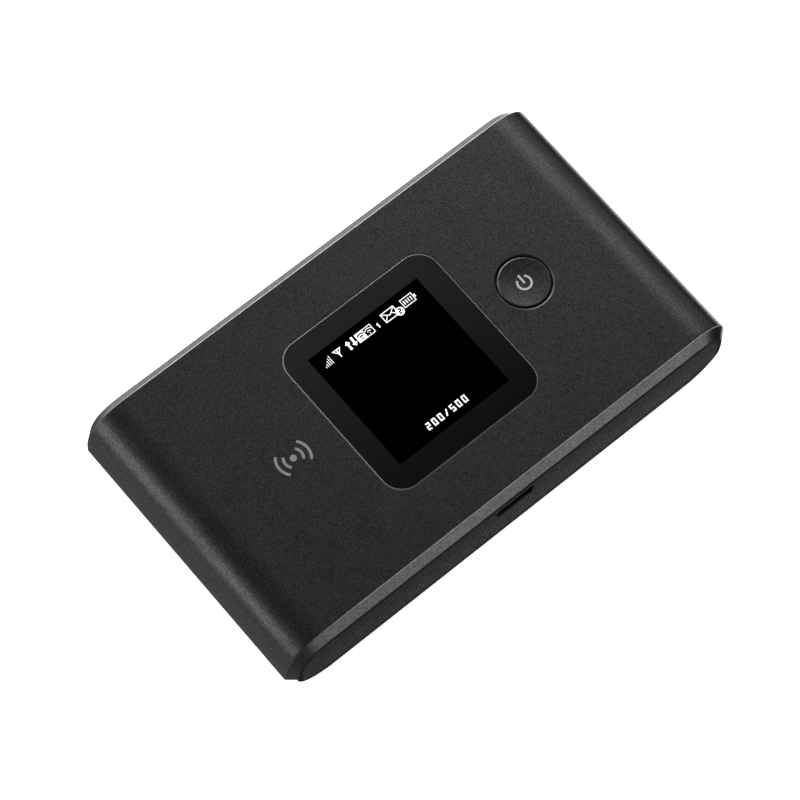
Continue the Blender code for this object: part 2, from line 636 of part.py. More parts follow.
def usb_outline(inset):
    """Micro-USB shell in (x, z): flat top, lower corners cut off."""
    top, bottom = USB_TOP - inset, USB_BOTTOM + inset
    half = USB_HALF_X - inset
    corner = USB_CORNER
    return [
        (half, top),
        (-half, top),
        (-half, bottom + corner),
        (corner - half, bottom),
        (half - corner, bottom),
        (half, bottom + corner),
    ]


def make_usb():
    shell = prism("usb_shell", usb_outline(0.0), *USB_Y, "Y")
    room = (USB_Y[0] - PAST, USB_Y[1] - USB_BACK)
    cut(shell, prism("usb_room", usb_outline(USB_WALL), *room, "Y", CUTTERS))
    finish(shell, (0.7, 0.7, 0.7), 0.25, 1.0)
    finish(box("usb_tongue", TONGUE_LOW, TONGUE_HIGH), (0.03, 0.03, 0.03), 0.5)


def make_sim():
    socket = box("sim_socket", SIM_LOW, SIM_HIGH)
    room_low = SIM_LOW + Vector((SIM_SIDE, SIM_SIDE, SIM_FLOOR))
    room_high = SIM_HIGH + Vector((-SIM_SIDE, PAST, PAST))
    room = box("sim_room", room_low, room_high, CUTTERS)
    window_low, window_high = SIM_LID_WINDOW
    window_z = (SIM_LOW.z - PAST, room_low.z + SIM_FLOOR)
    window = box("sim_lid_window", (*window_low, window_z[0]), (*window_high, window_z[1]), CUTTERS)
    cut(socket, room, window)
    finish(socket, (0.62, 0.62, 0.63), 0.3, 1.0)
    block = box("sim_contact_block", SIM_BLOCK_LOW, SIM_BLOCK_HIGH)
    finish(block, (0.03, 0.03, 0.03), 0.6)
    card = prism("sim_card", rounded_rectangle(CARD_LOW, CARD_HIGH, MM, 3), *CARD_Z)
    finish(card, (0.85, 0.85, 0.85), 0.45)
    middle = [(low + high) / 2 for low, high in zip((*CARD_LOW, CARD_Z[0]), (*CARD_HIGH, CARD_Z[1]))]
    parent(card, "sim_card_slide", middle)


def make_battery():
    pack = box("battery_pack", BATTERY_LOW, BATTERY_HIGH)
    bevel(pack, BATTERY_EDGE, 3)
    finish(pack, (0.06, 0.06, 0.065), 0.5)
    place = (BATTERY_LOW + BATTERY_HIGH) / 2
    parent(pack, "battery_lift", place)
    inner = BATTERY_HIGH.x + PAD_GAP
    for number, y in enumerate(CONTACT_YS, 1):
        low = (inner, y - PAD_HALF_Y, PAD_Z[0])
        high = (inner + PAD_THICKNESS, y + PAD_HALF_Y, PAD_Z[1])
        pad = finish(box(f"battery_pad_{number}", low, high), (0.8, 0.6, 0.25), 0.25, 1.0)
        parent(pad, "battery_lift", place)
        low = (SPRING_X[0], y - SPRING_HALF_Y, SPRING_Z[0])
        high = (SPRING_X[1], y + SPRING_HALF_Y, SPRING_Z[1])
        spring = box(f"contact_spring_{number}", low, high)
        bevel(spring, SPRING_EDGE, 2)
        finish(spring, (0.8, 0.6, 0.25), 0.25, 1.0)
    holder = box("battery_connector", HOLDER_LOW, HOLDER_HIGH)
    finish(holder, (0.03, 0.03, 0.03), 0.5)


def shield(name, footprint, height, opens_up):
    """A pressed can, open towards the board that it stands on or hangs from."""
    x_low, y_low, x_high, y_high = (value * MM for value in footprint)
    wall = SHIELD_WALL
    if opens_up:
        span = (UNDER_BOARD - height, UNDER_BOARD)
        room = (span[0] + wall, span[1] + PAST)
    else:
        span = (ON_BOARD, ON_BOARD + height)
        room = (span[0] - PAST, span[1] - wall)
    low, high = (x_low, y_low), (x_high, y_high)
    can = box(name, (*low, span[0]), (*high, span[1]))
    cut(can, box(f"{name}_room", *inset_corners(low, high, wall, room), CUTTERS))
    finish(can, (0.66, 0.66, 0.66), 0.3, 1.0)


def chip(name, sizes, hangs):
    x, y, length, width, height = (value * MM for value in sizes)
    low, high = (UNDER_BOARD - height, UNDER_BOARD) if hangs else (ON_BOARD, ON_BOARD + height)
    made = box(name, (x - length / 2, y - width / 2, low), (x + length / 2, y + width / 2, high))
    finish(made, (0.02, 0.02, 0.022), 0.4)


def make_electronics():
    for name, footprint in SHIELDS_UNDER.items():
        shield(name, footprint, SHIELD_UNDER, True)
    for name, footprint in SHIELDS_OVER.items():
        shield(name, footprint, SHIELD_OVER, False)
    for chips, hangs in ((CHIPS_UNDER, True), (CHIPS_OVER, False)):
        for name, sizes in chips.items():
            chip(name, sizes, hangs)
    pad_low, pad_high = THERMAL_PAD
    pad_top = UNDER_BOARD - SHIELD_UNDER - FIT
    pad = box("thermal_pad", (*pad_low, DECK_HIGH + FIT), (*pad_high, pad_top))
    finish(pad, (0.5, 0.52, 0.6), 0.8)
    label_low, label_high = BAY_LABEL
    label_top = DECK_LOW - FIT / 2
    label = box("bay_label", (*label_low, label_top - FIT), (*label_high, label_top))
    finish(label, (0.85, 0.85, 0.84), 0.6)
    make_switch("reset_switch", RESET_SWITCH_AT, RESET_SWITCH_SIZE, *RESET_SWITCH_Z, RESET_SWITCH_TIP)


def end_span(low, high, side):
    """Two corners given for the +X end, or their mirror images for the -X end."""
    near, far = sorted((side * low.x, side * high.x))
    return (near, low.y, low.z), (far, high.y, high.z)


def make_antennas():
    names = ((-1, "left_antenna_carrier", "main_antenna"), (1, "right_antenna_carrier", "diversity_antenna"))
    for side, carrier_name, foil_name in names:
        carrier = box(carrier_name, *end_span(CARRIER_LOW, CARRIER_HIGH, side))
        bevel(carrier, CARRIER_EDGE)
        finish(carrier, (0.55, 0.55, 0.52), 0.6)
        foil_low, foil_high = end_span(FOIL_LOW, FOIL_HIGH, side)
        foil = box(foil_name, foil_low, foil_high)
        for number, y in enumerate(FOIL_SLOT_YS):
            low, high = FOIL_SLOT_ZS[number % 2]
            slot = (foil_low[0] - PAST, y, low), (foil_high[0] + PAST, y + FOIL_SLOT_WIDTH, high)
            cut(foil, box(f"{foil_name}_slot_{number + 1}", *slot, CUTTERS))
        finish(foil, (0.72, 0.42, 0.2), 0.3, 1.0)
    strip = box("wifi_antenna", STRIP_LOW, STRIP_HIGH)
    width, depth = STRIP_LEG
    for number, x in enumerate(STRIP_LEG_XS, 1):
        leg = (x, STRIP_LOW.y, ON_BOARD), (x + width, STRIP_LOW.y + depth, STRIP_LOW.z + FIT)
        join(strip, box(f"wifi_antenna_leg_{number}", *leg, CUTTERS))
    finish(strip, (0.75, 0.74, 0.7), 0.3, 1.0)


def make_screws():
    seat = SCREW_SEAT - SCREW_SLACK
    shaft = [(0.0, SCREW_HIGH), (SCREW_SHAFT, SCREW_HIGH), (SCREW_SHAFT, seat)]
    edge = [(SCREW_HEAD, SCREW_LOW + SCREW_RIM[1]), (SCREW_HEAD - SCREW_RIM[0], SCREW_LOW)]
    head = [(SCREW_HEAD, seat), *edge, (0.0, SCREW_LOW)]
    arms = {"across": (RECESS_REACH, RECESS_HALF), "along": (RECESS_HALF, RECESS_REACH)}
    for number, (x, y) in enumerate(SCREW_SPOTS, 1):
        screw = turned(f"frame_screw_{number}", shaft + head, (x, y), SMALL_SIDES)
        for name, (reach_x, reach_y) in arms.items():
            low = (x - reach_x, y - reach_y, SCREW_LOW - PAST)
            high = (x + reach_x, y + reach_y, SCREW_LOW + RECESS_DEPTH)
            cut(screw, box(f"screw_{number}_{name}", low, high, CUTTERS))
        finish(screw, (0.4, 0.4, 0.41), 0.3, 1.0)


def parent(obj, name, place):
    """Hangs the object on the empty that marks its moving body's axis, keeping it where it is."""
    pivot = bpy.data.objects.get(name)
    if pivot is None:
        pivot = bpy.data.objects.new(name, None)
        pivot.empty_display_size = 5 * MM
        pivot.location = place
        PARTS.objects.link(pivot)
        bpy.context.view_layer.update()
    obj.parent = pivot
    obj.matrix_parent_inverse = pivot.matrix_world.inverted()


def hang_case(cover):
    """Hangs everything but the cover on the empty that lifts straight up off the cover."""
    standing = [obj for obj in PARTS.objects if obj.parent is None and obj is not cover]
    for obj in standing:
        parent(obj, "case_lift", (0.0, 0.0, 0.0))


clear_scene()
PARTS = collection("mobile_hotspot")
CUTTERS = collection("cutters")

make_front_shell()
cover = make_rear_cover()
make_window()
make_power_button()
make_mid_frame()
make_main_board()
make_display()
make_usb()
make_sim()
make_battery()
make_electronics()
make_antennas()
make_screws()
hang_case(cover)
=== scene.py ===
"""Looks of a pocket mobile hotspot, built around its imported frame.

X runs along the length (power button towards +X), Y across (USB mouth towards -Y), Z up out of the display.
The origin is on the resting face and every length is in metres.
"""

import math

import bmesh
import bpy
from mathutils import Matrix, Vector


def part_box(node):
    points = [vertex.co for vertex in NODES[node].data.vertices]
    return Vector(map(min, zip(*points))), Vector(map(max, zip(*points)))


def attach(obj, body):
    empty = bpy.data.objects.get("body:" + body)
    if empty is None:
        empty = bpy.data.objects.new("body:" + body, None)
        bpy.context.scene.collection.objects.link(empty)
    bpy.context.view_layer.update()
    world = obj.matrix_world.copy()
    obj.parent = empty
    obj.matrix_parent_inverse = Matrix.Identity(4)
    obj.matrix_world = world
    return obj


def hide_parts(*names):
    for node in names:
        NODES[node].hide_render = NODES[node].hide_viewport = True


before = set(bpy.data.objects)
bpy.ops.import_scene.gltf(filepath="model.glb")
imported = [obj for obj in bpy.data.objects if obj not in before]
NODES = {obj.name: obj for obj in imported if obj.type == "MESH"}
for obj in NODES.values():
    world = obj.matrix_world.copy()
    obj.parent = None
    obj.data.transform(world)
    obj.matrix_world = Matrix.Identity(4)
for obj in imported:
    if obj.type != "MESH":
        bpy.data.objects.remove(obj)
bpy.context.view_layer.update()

MM = 0.001
MERGE = 0.0002 * MM  # corners nearer than this are one

# Case, read from the frame
SHELL_LOW, SHELL_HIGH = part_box("front_shell")
COVER_LOW, COVER_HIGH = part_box("rear_cover")
WINDOW_LOW, WINDOW_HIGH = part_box("display_window")
BUTTON_LOW, BUTTON_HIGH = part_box("power_button")
END_X = SHELL_HIGH.x
SIDE_Y = SHELL_HIGH.y
TOP = SHELL_HIGH.z
PARTING = SHELL_LOW.z

# Case, shaped here
ROLL_RUN = 9.0 * MM
ROLL_DROP = 8.85 * MM
ROLL_POWER = 2.35
CHAMFER_RUN = 1.6 * MM
CHAMFER_DROP = 1.92 * MM
LIP = 0.18 * MM
WALL = 1.4 * MM
RIM_RADIUS = 0.12 * MM  # round of the shell's lower rim
LIP_REACH = 0.12 * MM  # how far the rounds of the chamfer's lower and upper corners reach
FACE_REACH = 0.16 * MM
SEAM = 0.3 * MM
GROOVE = 0.55 * MM  # groove between the chamfer and the cover, where a strip of painted shade makes the dark line
LEDGE = 1.5 * MM  # width of the lip that the cover's walls fit under
INNER_EDGE = LEDGE - 0.29 * MM  # where the shell's thin lip turns into its full wall
EDGE_STEP = 0.01 * MM  # over this much to either side
ARC_STEPS = 44
EDGE_STEPS = 5
SHELL_FINISHES = ("shell", "edge", "rim", "gasket")
EDGE, PAINTED_SHADE = 1, 3  # their places among the shell's finishes
LINE_BANDS = 3  # strips of the upper corner that show as the pale line of painted highlight
# painted shade strip in the seam's groove: its gap from the side and its depth
SHADE_STRIP_GAP = 0.03 * MM
SHADE_STRIP_DEPTH = 1.0 * MM
BOSS_FOOT = 13.0 * MM
BOSS_ROOT = 0.2 * MM
BOSS_BORE = 0.95 * MM
PAST = 1.0 * MM  # how far a cutter runs on past the face it opens

# Rear cover
COVER_RUN = 7.4 * MM
COVER_POWER = 1.8
COVER_WALL = 1.3 * MM
COVER_EDGE = 0.3 * MM
COVER_RIM = PARTING - SEAM
COVER_TOP_EDGE = 0.2 * MM
COVER_LIP_Z = 8.4 * MM
COVER_FINISHES = ("cover", "gasket", "cover_inside")
COVER_INSIDE = 2  # its place among them
TICK_PITCH = 0.5 * MM  # spacing of the moulded ticks along X
TICK_ROW = 1.4 * MM  # and from row to row
TICK_HEIGHT = 0.03 * MM
OUTLINE_X = 0.4 * MM  # width of the dark outline of painted shade at the cover's ends
OUTLINE_Z = 1.35 * MM  # and along its foot
OUTLINE_YS = (SIDE_Y - 0.6 * MM, SIDE_Y - 0.4 * MM)  # it shows from the second on
SHADE_ZS = (6.0 * MM, 13.0 * MM)  # painted shade: the walls darken upwards between these heights
SHADE_X = 30.0 * MM  # and painted light brightens them towards +X up to here
USB_Z = 10.85 * MM
USB_MOUTH = (8.4 * MM, 2.9 * MM)
MOUTH_RADIUS = 0.9 * MM
MOUTH_BEVEL = 0.2 * MM
SCOOP_Y = -19.0 * MM
SCOOP_HALF = 3.8 * MM
SCOOP_DEPTH = 0.75 * MM
SCOOP_SIZE = 0.6 * MM
SCOOP_LEAST = 0.02 * MM
SCOOP_STEPS = 12
HOOK_XS = [x * MM for x in (-32.0, -13.0, 20.0, 32.0)]
HOOK_HALF = 2.0 * MM
HOOK_ROOT = 0.3 * MM
HOOK_TIP = 0.6 * MM
HOOK_ROOT_Z = (9.0 * MM, 9.8 * MM)
HOOK_TIP_Z = (9.3 * MM, 9.5 * MM)

# Window and button
WINDOW_SIDE = WINDOW_HIGH.x - WINDOW_LOW.x
WINDOW_RADIUS = 4.3 * MM
WINDOW_BEVEL = 0.25 * MM
WINDOW_GAP = 0.04 * MM
WINDOW_LEDGE = 0.95 * MM
VIEW_SIDE = 29.4 * MM
VIEW_RADIUS = 2.5 * MM
BOSS_RADIUS = 1.9 * MM
PICTURE_DEPTH = 0.15 * MM
LIT_LOW = (-12.54 * MM, -12.25 * MM)
LIT_HIGH = (12.05 * MM, 12.6 * MM)
LIT_RADIUS = 0.05 * MM
PIXEL = 0.19 * MM
BUTTON_X = (BUTTON_LOW.x + BUTTON_HIGH.x) / 2
BUTTON_RADIUS = 4.83 * MM
BUTTON_Y = 0.13 * MM
BUTTON_HOLE = 5.06 * MM
BUTTON_DISH = 0.27 * MM
BUTTON_BEVEL = 0.27 * MM
BUTTON_DROP = 0.15 * MM  # depth of the cap's bevel and of the slope round its hole
HOLE_FLARE = 0.25 * MM
STEM_RADIUS = 1.3 * MM
FLANGE_HIGH = 0.75 * MM  # flange over the button's lowest point
FLANGE_LOW = 0.25 * MM
INK = 0.02 * MM  # thickness of printed or lit marks

# Marks
SIGN_AT = (-25.9 * MM, 0.2 * MM)
SIGN_DOT = 0.62 * MM
SIGN_RADII = (1.75 * MM, 3.1 * MM)
SIGN_WIDTH = 0.5 * MM
SIGN_SPREAD = 42  # degrees to either side
POWER_RADIUS = 1.28 * MM
POWER_ARC = (128, 412)  # degrees
POWER_BAR = (-0.1 * MM, 1.75 * MM)
POWER_WIDTH = 0.4 * MM
SINK = 0.004 * MM  # how far the power sign sinks into the dish

# Battery
PACK_EDGE = 1.2 * MM
PACK_RADIUS = 1.6 * MM
PACK_STEPS = 12
LABEL_INSET = 3.0 * MM
LABEL_END = 6.0 * MM  # bare at the battery's contact end
LABEL_RADIUS = 1.0 * MM
LABEL_THICKNESS = 0.05 * MM
POLE_Y = 3.2 * MM
POLE_REACH = 0.9 * MM
POLE_WIDTH = 0.35 * MM
POLE_THICKNESS = 0.03 * MM

# USB socket
USB_CORNER = 1.0 * MM
USB_WALL = 0.3 * MM
USB_ROUND = 0.25 * MM
USB_BACK = 0.4 * MM
CONTACT_PITCH = 0.65 * MM
CONTACT_HALF = 0.15 * MM
CONTACT_START = 0.3 * MM
CONTACT_RISE = (0.04 * MM, 0.02 * MM)  # out of the tongue, and into it

# Grain
BLOTCH = 9.0 * MM
SCUFF = 0.3 * MM
ROLLING = 0.5 * MM
HIGHLIGHT_XS = (-46.0 * MM, -34.0 * MM)  # the painted highlight on the chamfer's upper corner shows from the second on

# Softened edges of the plain pieces
NODE_EDGE = 0.12 * MM
NODE_EDGE_SHARE = 0.2


# ---- meshes


def new_object(name, mesh):
    obj = bpy.data.objects.new(name, mesh)
    bpy.context.scene.collection.objects.link(obj)
    return obj


def mesh_of(name, fill):
    """An object whose mesh the function fill makes in a bmesh, with its normals facing out."""
    work = bmesh.new()
    fill(work)
    bmesh.ops.remove_doubles(work, verts=work.verts, dist=MERGE)
    bmesh.ops.recalc_face_normals(work, faces=work.faces)
    mesh = bpy.data.meshes.new(name)
    work.to_mesh(mesh)
    work.free()
    return new_object(name, mesh)


def skin(work, rings):
    """Quads between neighbouring closed rings of equally many points; gives the rings' vertices."""
    made = [[work.verts.new(point) for point in ring] for ring in rings]
    for ring, following in zip(made, made[1:]):
        for i in range(len(ring)):
            j = (i + 1) % len(ring)
            work.faces.new((ring[i], ring[j], following[j], following[i]))
    return made


def paint(work, count, index):
    """Gives each stretch of count faces its material slot."""
    for number, face in enumerate(work.faces):
        if number // count < len(index):
            face.material_index = index[number // count]


def loft(name, rings, index=()):
    """A closed solid through rings, with flat caps. index gives each stretch's material slot."""

    def fill(work):
        made = skin(work, rings)
        paint(work, len(made[0]), index)
        work.faces.new(made[0])
        work.faces.new(made[-1])

    return mesh_of(name, fill)


def lathe(name, profile, at, sides=96, index=()):
    """A solid turned about the upright through at, from (radius, z) points that start and end on it."""

    def fill(work):
        points = profile[1:-1]
        rings = []
        for radius, z in points:
            angles = [math.tau * k / sides for k in range(sides)]
            rings.append([(at[0] + radius * math.cos(a), at[1] + radius * math.sin(a), z) for a in angles])
        made = skin(work, rings)
        paint(work, sides, index)
        for ring, (_, z) in ((made[0], profile[0]), (made[-1], profile[-1])):
            tip = work.verts.new((at[0], at[1], z))
            for i in range(sides):
                work.faces.new((ring[i], ring[(i + 1) % sides], tip))

    return mesh_of(name, fill)


def level(outline, z):
    return [(x, y, z) for x, y in outline]


def rounded_rectangle(low, high, radius, steps=8):
    """Corner points of a rectangle with rounded corners, counter-clockwise."""
    centres = (
        (high[0] - radius, high[1] - radius),
        (low[0] + radius, high[1] - radius),
        (low[0] + radius, low[1] + radius),
        (high[0] - radius, low[1] + radius),
    )
    outline = []
    for quarter_turn, (x, y) in enumerate(centres):
        for step in range(steps + 1):
            angle = (quarter_turn + step / steps) * math.pi / 2
            outline.append((x + radius * math.cos(angle), y + radius * math.sin(angle)))
    return outline


def square(side, radius, steps=12):
    return rounded_rectangle((-side / 2, -side / 2), (side / 2, side / 2), radius, steps)


def plate(name, outline, low, high):
    return loft(name, [level(outline, low), level(outline, high)])


def block(work, low, high):
    size = Matrix.Diagonal((*(Vector(high) - Vector(low)), 1.0))
    middle = Matrix.Translation((Vector(low) + Vector(high)) / 2)
    bmesh.ops.create_cube(work, size=1.0, matrix=middle @ size)


def boolean(obj, cutter, operation="DIFFERENCE"):
    """Cuts obj by cutter, or joins them, and removes the cutter."""
    modifier = obj.modifiers.new("boolean", "BOOLEAN")
    modifier.operation = operation
    modifier.solver = "EXACT"
    modifier.object = cutter
    bpy.context.view_layer.update()
    evaluated = obj.evaluated_get(bpy.context.evaluated_depsgraph_get())
    mesh = bpy.data.meshes.new_from_object(evaluated)
    obj.modifiers.clear()
    obj.data = mesh
    bpy.data.objects.remove(cutter)


def smooth(obj, degrees=28.0):
    """Smooth shading inside each face group, with flat faces kept flat."""
    obj.data.shade_smooth()
    obj.data.set_sharp_from_angle(angle=math.radians(degrees))
    weighted = obj.modifiers.new("normals", "WEIGHTED_NORMAL")
    weighted.keep_sharp = True
    weighted.mode = "FACE_AREA"
    return obj


def soften(obj, width):
    bevel = obj.modifiers.new("edges", "BEVEL")
    bevel.width = width
    bevel.segments = 2
    bevel.limit_method = "ANGLE"
    bevel.angle_limit = math.radians(40)
    bevel.harden_normals = True


def place(obj, body, material_slot, *finishes, stands_for=()):
    """Gives a piece its materials and its body, and hides the nodes that it stands for; material_slot is not
    used.
    """
    slots = obj.data.materials
    while len(slots) < len(finishes):
        slots.append(None)
    for i, finish in enumerate(finishes):
        slots[i] = finish
    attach(obj, body)
    if stands_for:
        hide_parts(*stands_for)


# ---- materials


class Graph:
    """A node tree with helpers for making and joining its nodes."""

    def __init__(self, tree):
        self.tree = tree

    def node(self, kind, **settings):
        made = self.tree.nodes.new(kind)
        for key, value in settings.items():
            setattr(made, key, value)
        return made

    def link(self, output, target):
        self.tree.links.new(output, target)

    def calculate(self, operation, first, second=0.0):
        maths = self.node("ShaderNodeMath", operation=operation)
        for socket, value in zip(maths.inputs, (first, second)):
            if isinstance(value, (int, float)):
                socket.default_value = value
            else:
                self.link(value, socket)
        return maths.outputs[0]

    def spread(self, value, low, high, start=0.3, end=0.7, interpolation="LINEAR"):
        """Value stretched from start..end to low..high."""
        mapped = self.node("ShaderNodeMapRange", interpolation_type=interpolation)
        for name, number in (("From Min", start), ("From Max", end), ("To Min", low), ("To Max", high)):
            mapped.inputs[name].default_value = number
        self.link(value, mapped.inputs["Value"])
        return mapped.outputs["Result"]

    def axes(self, vector):
        split = self.node("ShaderNodeSeparateXYZ")
        self.link(vector, split.inputs["Vector"])
        return split.outputs


class Finish(Graph):
    """A Principled material with helpers that add procedural detail in the object's own coordinates."""

    def __init__(self, name, colour, roughness, metallic=0.0):
        self.material = bpy.data.materials.new(name)
        self.material.use_nodes = True
        super().__init__(self.material.node_tree)
        self.shader = self.tree.nodes["Principled BSDF"]
        self.set("Base Color", (*colour, 1.0))
        self.set("Roughness", roughness)
        self.set("Metallic", metallic)
        self.material.diffuse_color = (*colour, 1.0)
        self.colour = colour
        self.roughness = roughness
        self.height = None
        self.place = self.node("ShaderNodeTexCoord").outputs["Object"]

    def set(self, name, value):
        self.shader.inputs[name].default_value = value

    def stretched(self, scale):
        mapping = self.node("ShaderNodeMapping")
        mapping.inputs["Scale"].default_value = scale
        self.link(self.place, mapping.inputs["Vector"])
        return mapping.outputs["Vector"]

    def noise(self, size, detail=2.0, stretch=(1.0, 1.0, 1.0)):
        """Noise between 0 and 1 whose blobs are about size across."""
        texture = self.node("ShaderNodeTexNoise")
        texture.inputs["Scale"].default_value = 1.0 / size
        texture.inputs["Detail"].default_value = detail
        self.link(self.stretched(stretch), texture.inputs["Vector"])
        return texture.outputs["Fac"]

    def cells(self, size, output="Distance"):
        texture = self.node("ShaderNodeTexVoronoi")
        texture.inputs["Scale"].default_value = 1.0 / size
        self.link(self.place, texture.inputs["Vector"])
        return texture.outputs[output]

    def tint(self, value, dark, light):
        """Drives the base colour between two multiples of it."""
        mix = self.node("ShaderNodeMix", data_type="RGBA")
        mix.inputs["A"].default_value = (*[c * dark for c in self.colour], 1.0)
        mix.inputs["B"].default_value = (*[min(1.0, c * light) for c in self.colour], 1.0)
        self.link(value, mix.inputs["Factor"])
        colour = mix.outputs["Result"]
        self.link(colour, self.shader.inputs["Base Color"])
        return self

    def flakes(self, size, dark, light):
        """Random flecks of that size, between two multiples of the colour and of the sheen."""
        value = self.axes(self.cells(size, "Color"))[0]
        self.tint(value, dark, light)
        sheen = self.shader.inputs["Specular IOR Level"]
        self.link(self.spread(value, dark * sheen.default_value, light * sheen.default_value, 0, 1), sheen)
        return value

    def vary_roughness(self, value, amount):
        low = self.roughness - amount
        self.link(self.spread(value, low, self.roughness + amount), self.shader.inputs["Roughness"])
        return self

    def raise_by(self, value, distance):
        """Adds a bump of that real height, on top of the bumps before it."""
        bump = self.node("ShaderNodeBump")
        bump.inputs["Strength"].default_value = 1.0
        bump.inputs["Distance"].default_value = distance
        self.link(value, bump.inputs["Height"])
        if self.height:
            self.link(self.height, bump.inputs["Normal"])
        self.height = bump.outputs["Normal"]
        self.link(self.height, self.shader.inputs["Normal"])
        return self


def moulded(name, colour, roughness, grain=0.16 * MM, depth=0.004 * MM, speckle=(0.8, 1.25)):
    """Moulded plastic: a fine sparkling grain, slight blotches and changes of gloss."""
    finish = Finish(name, colour, roughness)
    fine = finish.noise(grain, detail=1.0)
    finish.tint(finish.spread(fine, 0.0, 1.0), *speckle)
    finish.vary_roughness(finish.noise(BLOTCH, detail=3.0), 0.03)
    finish.raise_by(fine, depth)
    return finish.material


def painted(name, colour, roughness, sheen=0.5, flake=0.11 * MM, dark=0.35, light=1.65):
    """Matte paint with a metallic sparkle as fine as sand."""
    finish = Finish(name, colour, roughness)
    finish.set("Specular IOR Level", sheen)
    flecks = finish.flakes(flake, dark, light)
    finish.vary_roughness(finish.noise(BLOTCH, detail=3.0), 0.03)
    finish.raise_by(flecks, 0.003 * MM)
    return finish


def edge_finish():
    """Pale line along the chamfer's upper corner: painted highlight, paler towards the button end and broken
    up by scuffs.
    """
    finish = painted("edge_highlight_paint", (0.62, 0.62, 0.625), 0.3, 0.9)
    # painted highlight: brightest towards the button end, fading out towards -X
    highlight_reach = finish.spread(finish.axes(finish.place)[0], 0.0, 1.0, *HIGHLIGHT_XS)
    finish.tint(finish.calculate("MULTIPLY", highlight_reach, finish.noise(SCUFF)), 0.1, 1.6)
    return finish.material


def cover_finish():
    """Black cover, moulded with staggered rows of small raised ticks that are paler than the dips, with
    painted shade darkening its walls upwards and along a dark outline, and painted light brightening them
    towards +X.
    """
    finish = Finish("cover_plastic", (0.062, 0.062, 0.0625), 0.5)
    finish.set("Specular IOR Level", 0.12)
    x, y, z = finish.axes(finish.place)
    facing = finish.axes(finish.node("ShaderNodeTexCoord").outputs["Normal"])[0]
    at_end = finish.calculate("GREATER_THAN", finish.calculate("ABSOLUTE", facing), 0.7)
    at_side = finish.calculate("SUBTRACT", 1.0, at_end)
    rise = finish.calculate("SUBTRACT", z, finish.calculate("MULTIPLY", y, at_side))
    run_parts = [finish.calculate("MULTIPLY", *pair) for pair in ((x, at_side), (y, at_end))]
    rows = finish.calculate("DIVIDE", rise, TICK_ROW)
    shift = finish.calculate("MULTIPLY", finish.calculate("FLOOR", rows), 0.5)
    run = finish.calculate("ADD", *run_parts)
    columns = finish.calculate("ADD", finish.calculate("DIVIDE", run, TICK_PITCH), shift)
    across = finish.spread(finish.calculate("PINGPONG", columns, 0.5), 0.0, 1.0, 0.1, 0.34)
    along = finish.spread(finish.calculate("PINGPONG", rows, 0.5), 0.0, 1.0, 0.06, 0.22)
    tick = finish.calculate("MULTIPLY", across, along)
    grain = finish.noise(SCUFF, detail=1.0)
    pattern = finish.calculate("MULTIPLY", tick, finish.spread(grain, 0.0, 1.0, 0.38, 0.62))
    # painted shade: walls darker towards the top; painted light: walls brighter towards +X
    height_shade = finish.spread(z, 1.0, 0.6, *SHADE_ZS)
    length_shade = finish.spread(x, 0.857, 1.143, -SHADE_X, SHADE_X)
    shade = finish.calculate("MULTIPLY", height_shade, length_shade)
    # painted shade: a dark outline along the cover's foot and round its ends, where it meets the floor
    end = finish.calculate("SUBTRACT", finish.calculate("ABSOLUTE", x), COVER_HIGH.x - COVER_RUN)
    share_x = finish.calculate("DIVIDE", finish.calculate("MAXIMUM", end, 0.0), COVER_RUN - OUTLINE_X)
    foot = finish.calculate("SUBTRACT", COVER_RIM, z)
    share_z = finish.calculate("DIVIDE", finish.calculate("MAXIMUM", foot, 0.0), COVER_RIM - OUTLINE_Z)
    powers = [finish.calculate("POWER", share, COVER_POWER) for share in (share_x, share_z)]
    outside = finish.spread(finish.calculate("ADD", *powers), 0.0, 1.0, 0.9, 1.0)
    side = finish.spread(finish.calculate("ABSOLUTE", y), 0.0, 1.0, *OUTLINE_YS)
    inside = finish.calculate("SUBTRACT", 1.0, finish.calculate("MULTIPLY", outside, side))
    value = finish.calculate("MULTIPLY", pattern, finish.calculate("MULTIPLY", shade, inside))
    finish.tint(value, 0.05, 5.6)
    finish.vary_roughness(finish.noise(8.0 * MM, detail=3.0), 0.04)
    finish.raise_by(tick, TICK_HEIGHT)
    finish.raise_by(grain, 0.004 * MM)
    return finish.material


def pane_finish():
    """Glass inked black on its back: smooth, with faint smears."""
    finish = Finish("window_pane", (0.0012, 0.0012, 0.0013), 0.05)
    finish.set("Specular IOR Level", 0.5)
    finish.vary_roughness(finish.noise(6.0 * MM, detail=4.0), 0.02)
    finish.tint(finish.noise(1.5 * MM), 0.8, 1.2)
    finish.raise_by(finish.noise(14.0 * MM, detail=0.0), 0.0006 * MM)
    return finish.material


def picture_finish():
    """The display's unlit picture area, blacker than the ink round it, in a fine grid of pixels."""
    finish = Finish("picture", (0.0002, 0.0002, 0.0003), 0.6)
    finish.set("Specular IOR Level", 0.0)
    finish.tint(finish.cells(PIXEL), 0.5, 1.5)
    return finish.material


def lit_finish():
    """Lit picture elements, a little uneven like a real display."""
    finish = Finish("lit_marks", (0.9, 0.9, 0.9), 0.6)
    finish.set("Emission Color", (1.0, 1.0, 1.0, 1.0))
    strength = finish.spread(finish.noise(PIXEL, detail=0.0), 0.8, 0.95)
    finish.link(strength, finish.shader.inputs["Emission Strength"])
    return finish.material


def ink_finish(name, colour):
    """Printed marks on the case."""
    return moulded(name, (colour, colour, colour * 1.01), 0.42, 0.12 * MM, 0.002 * MM, (0.88, 1.08))


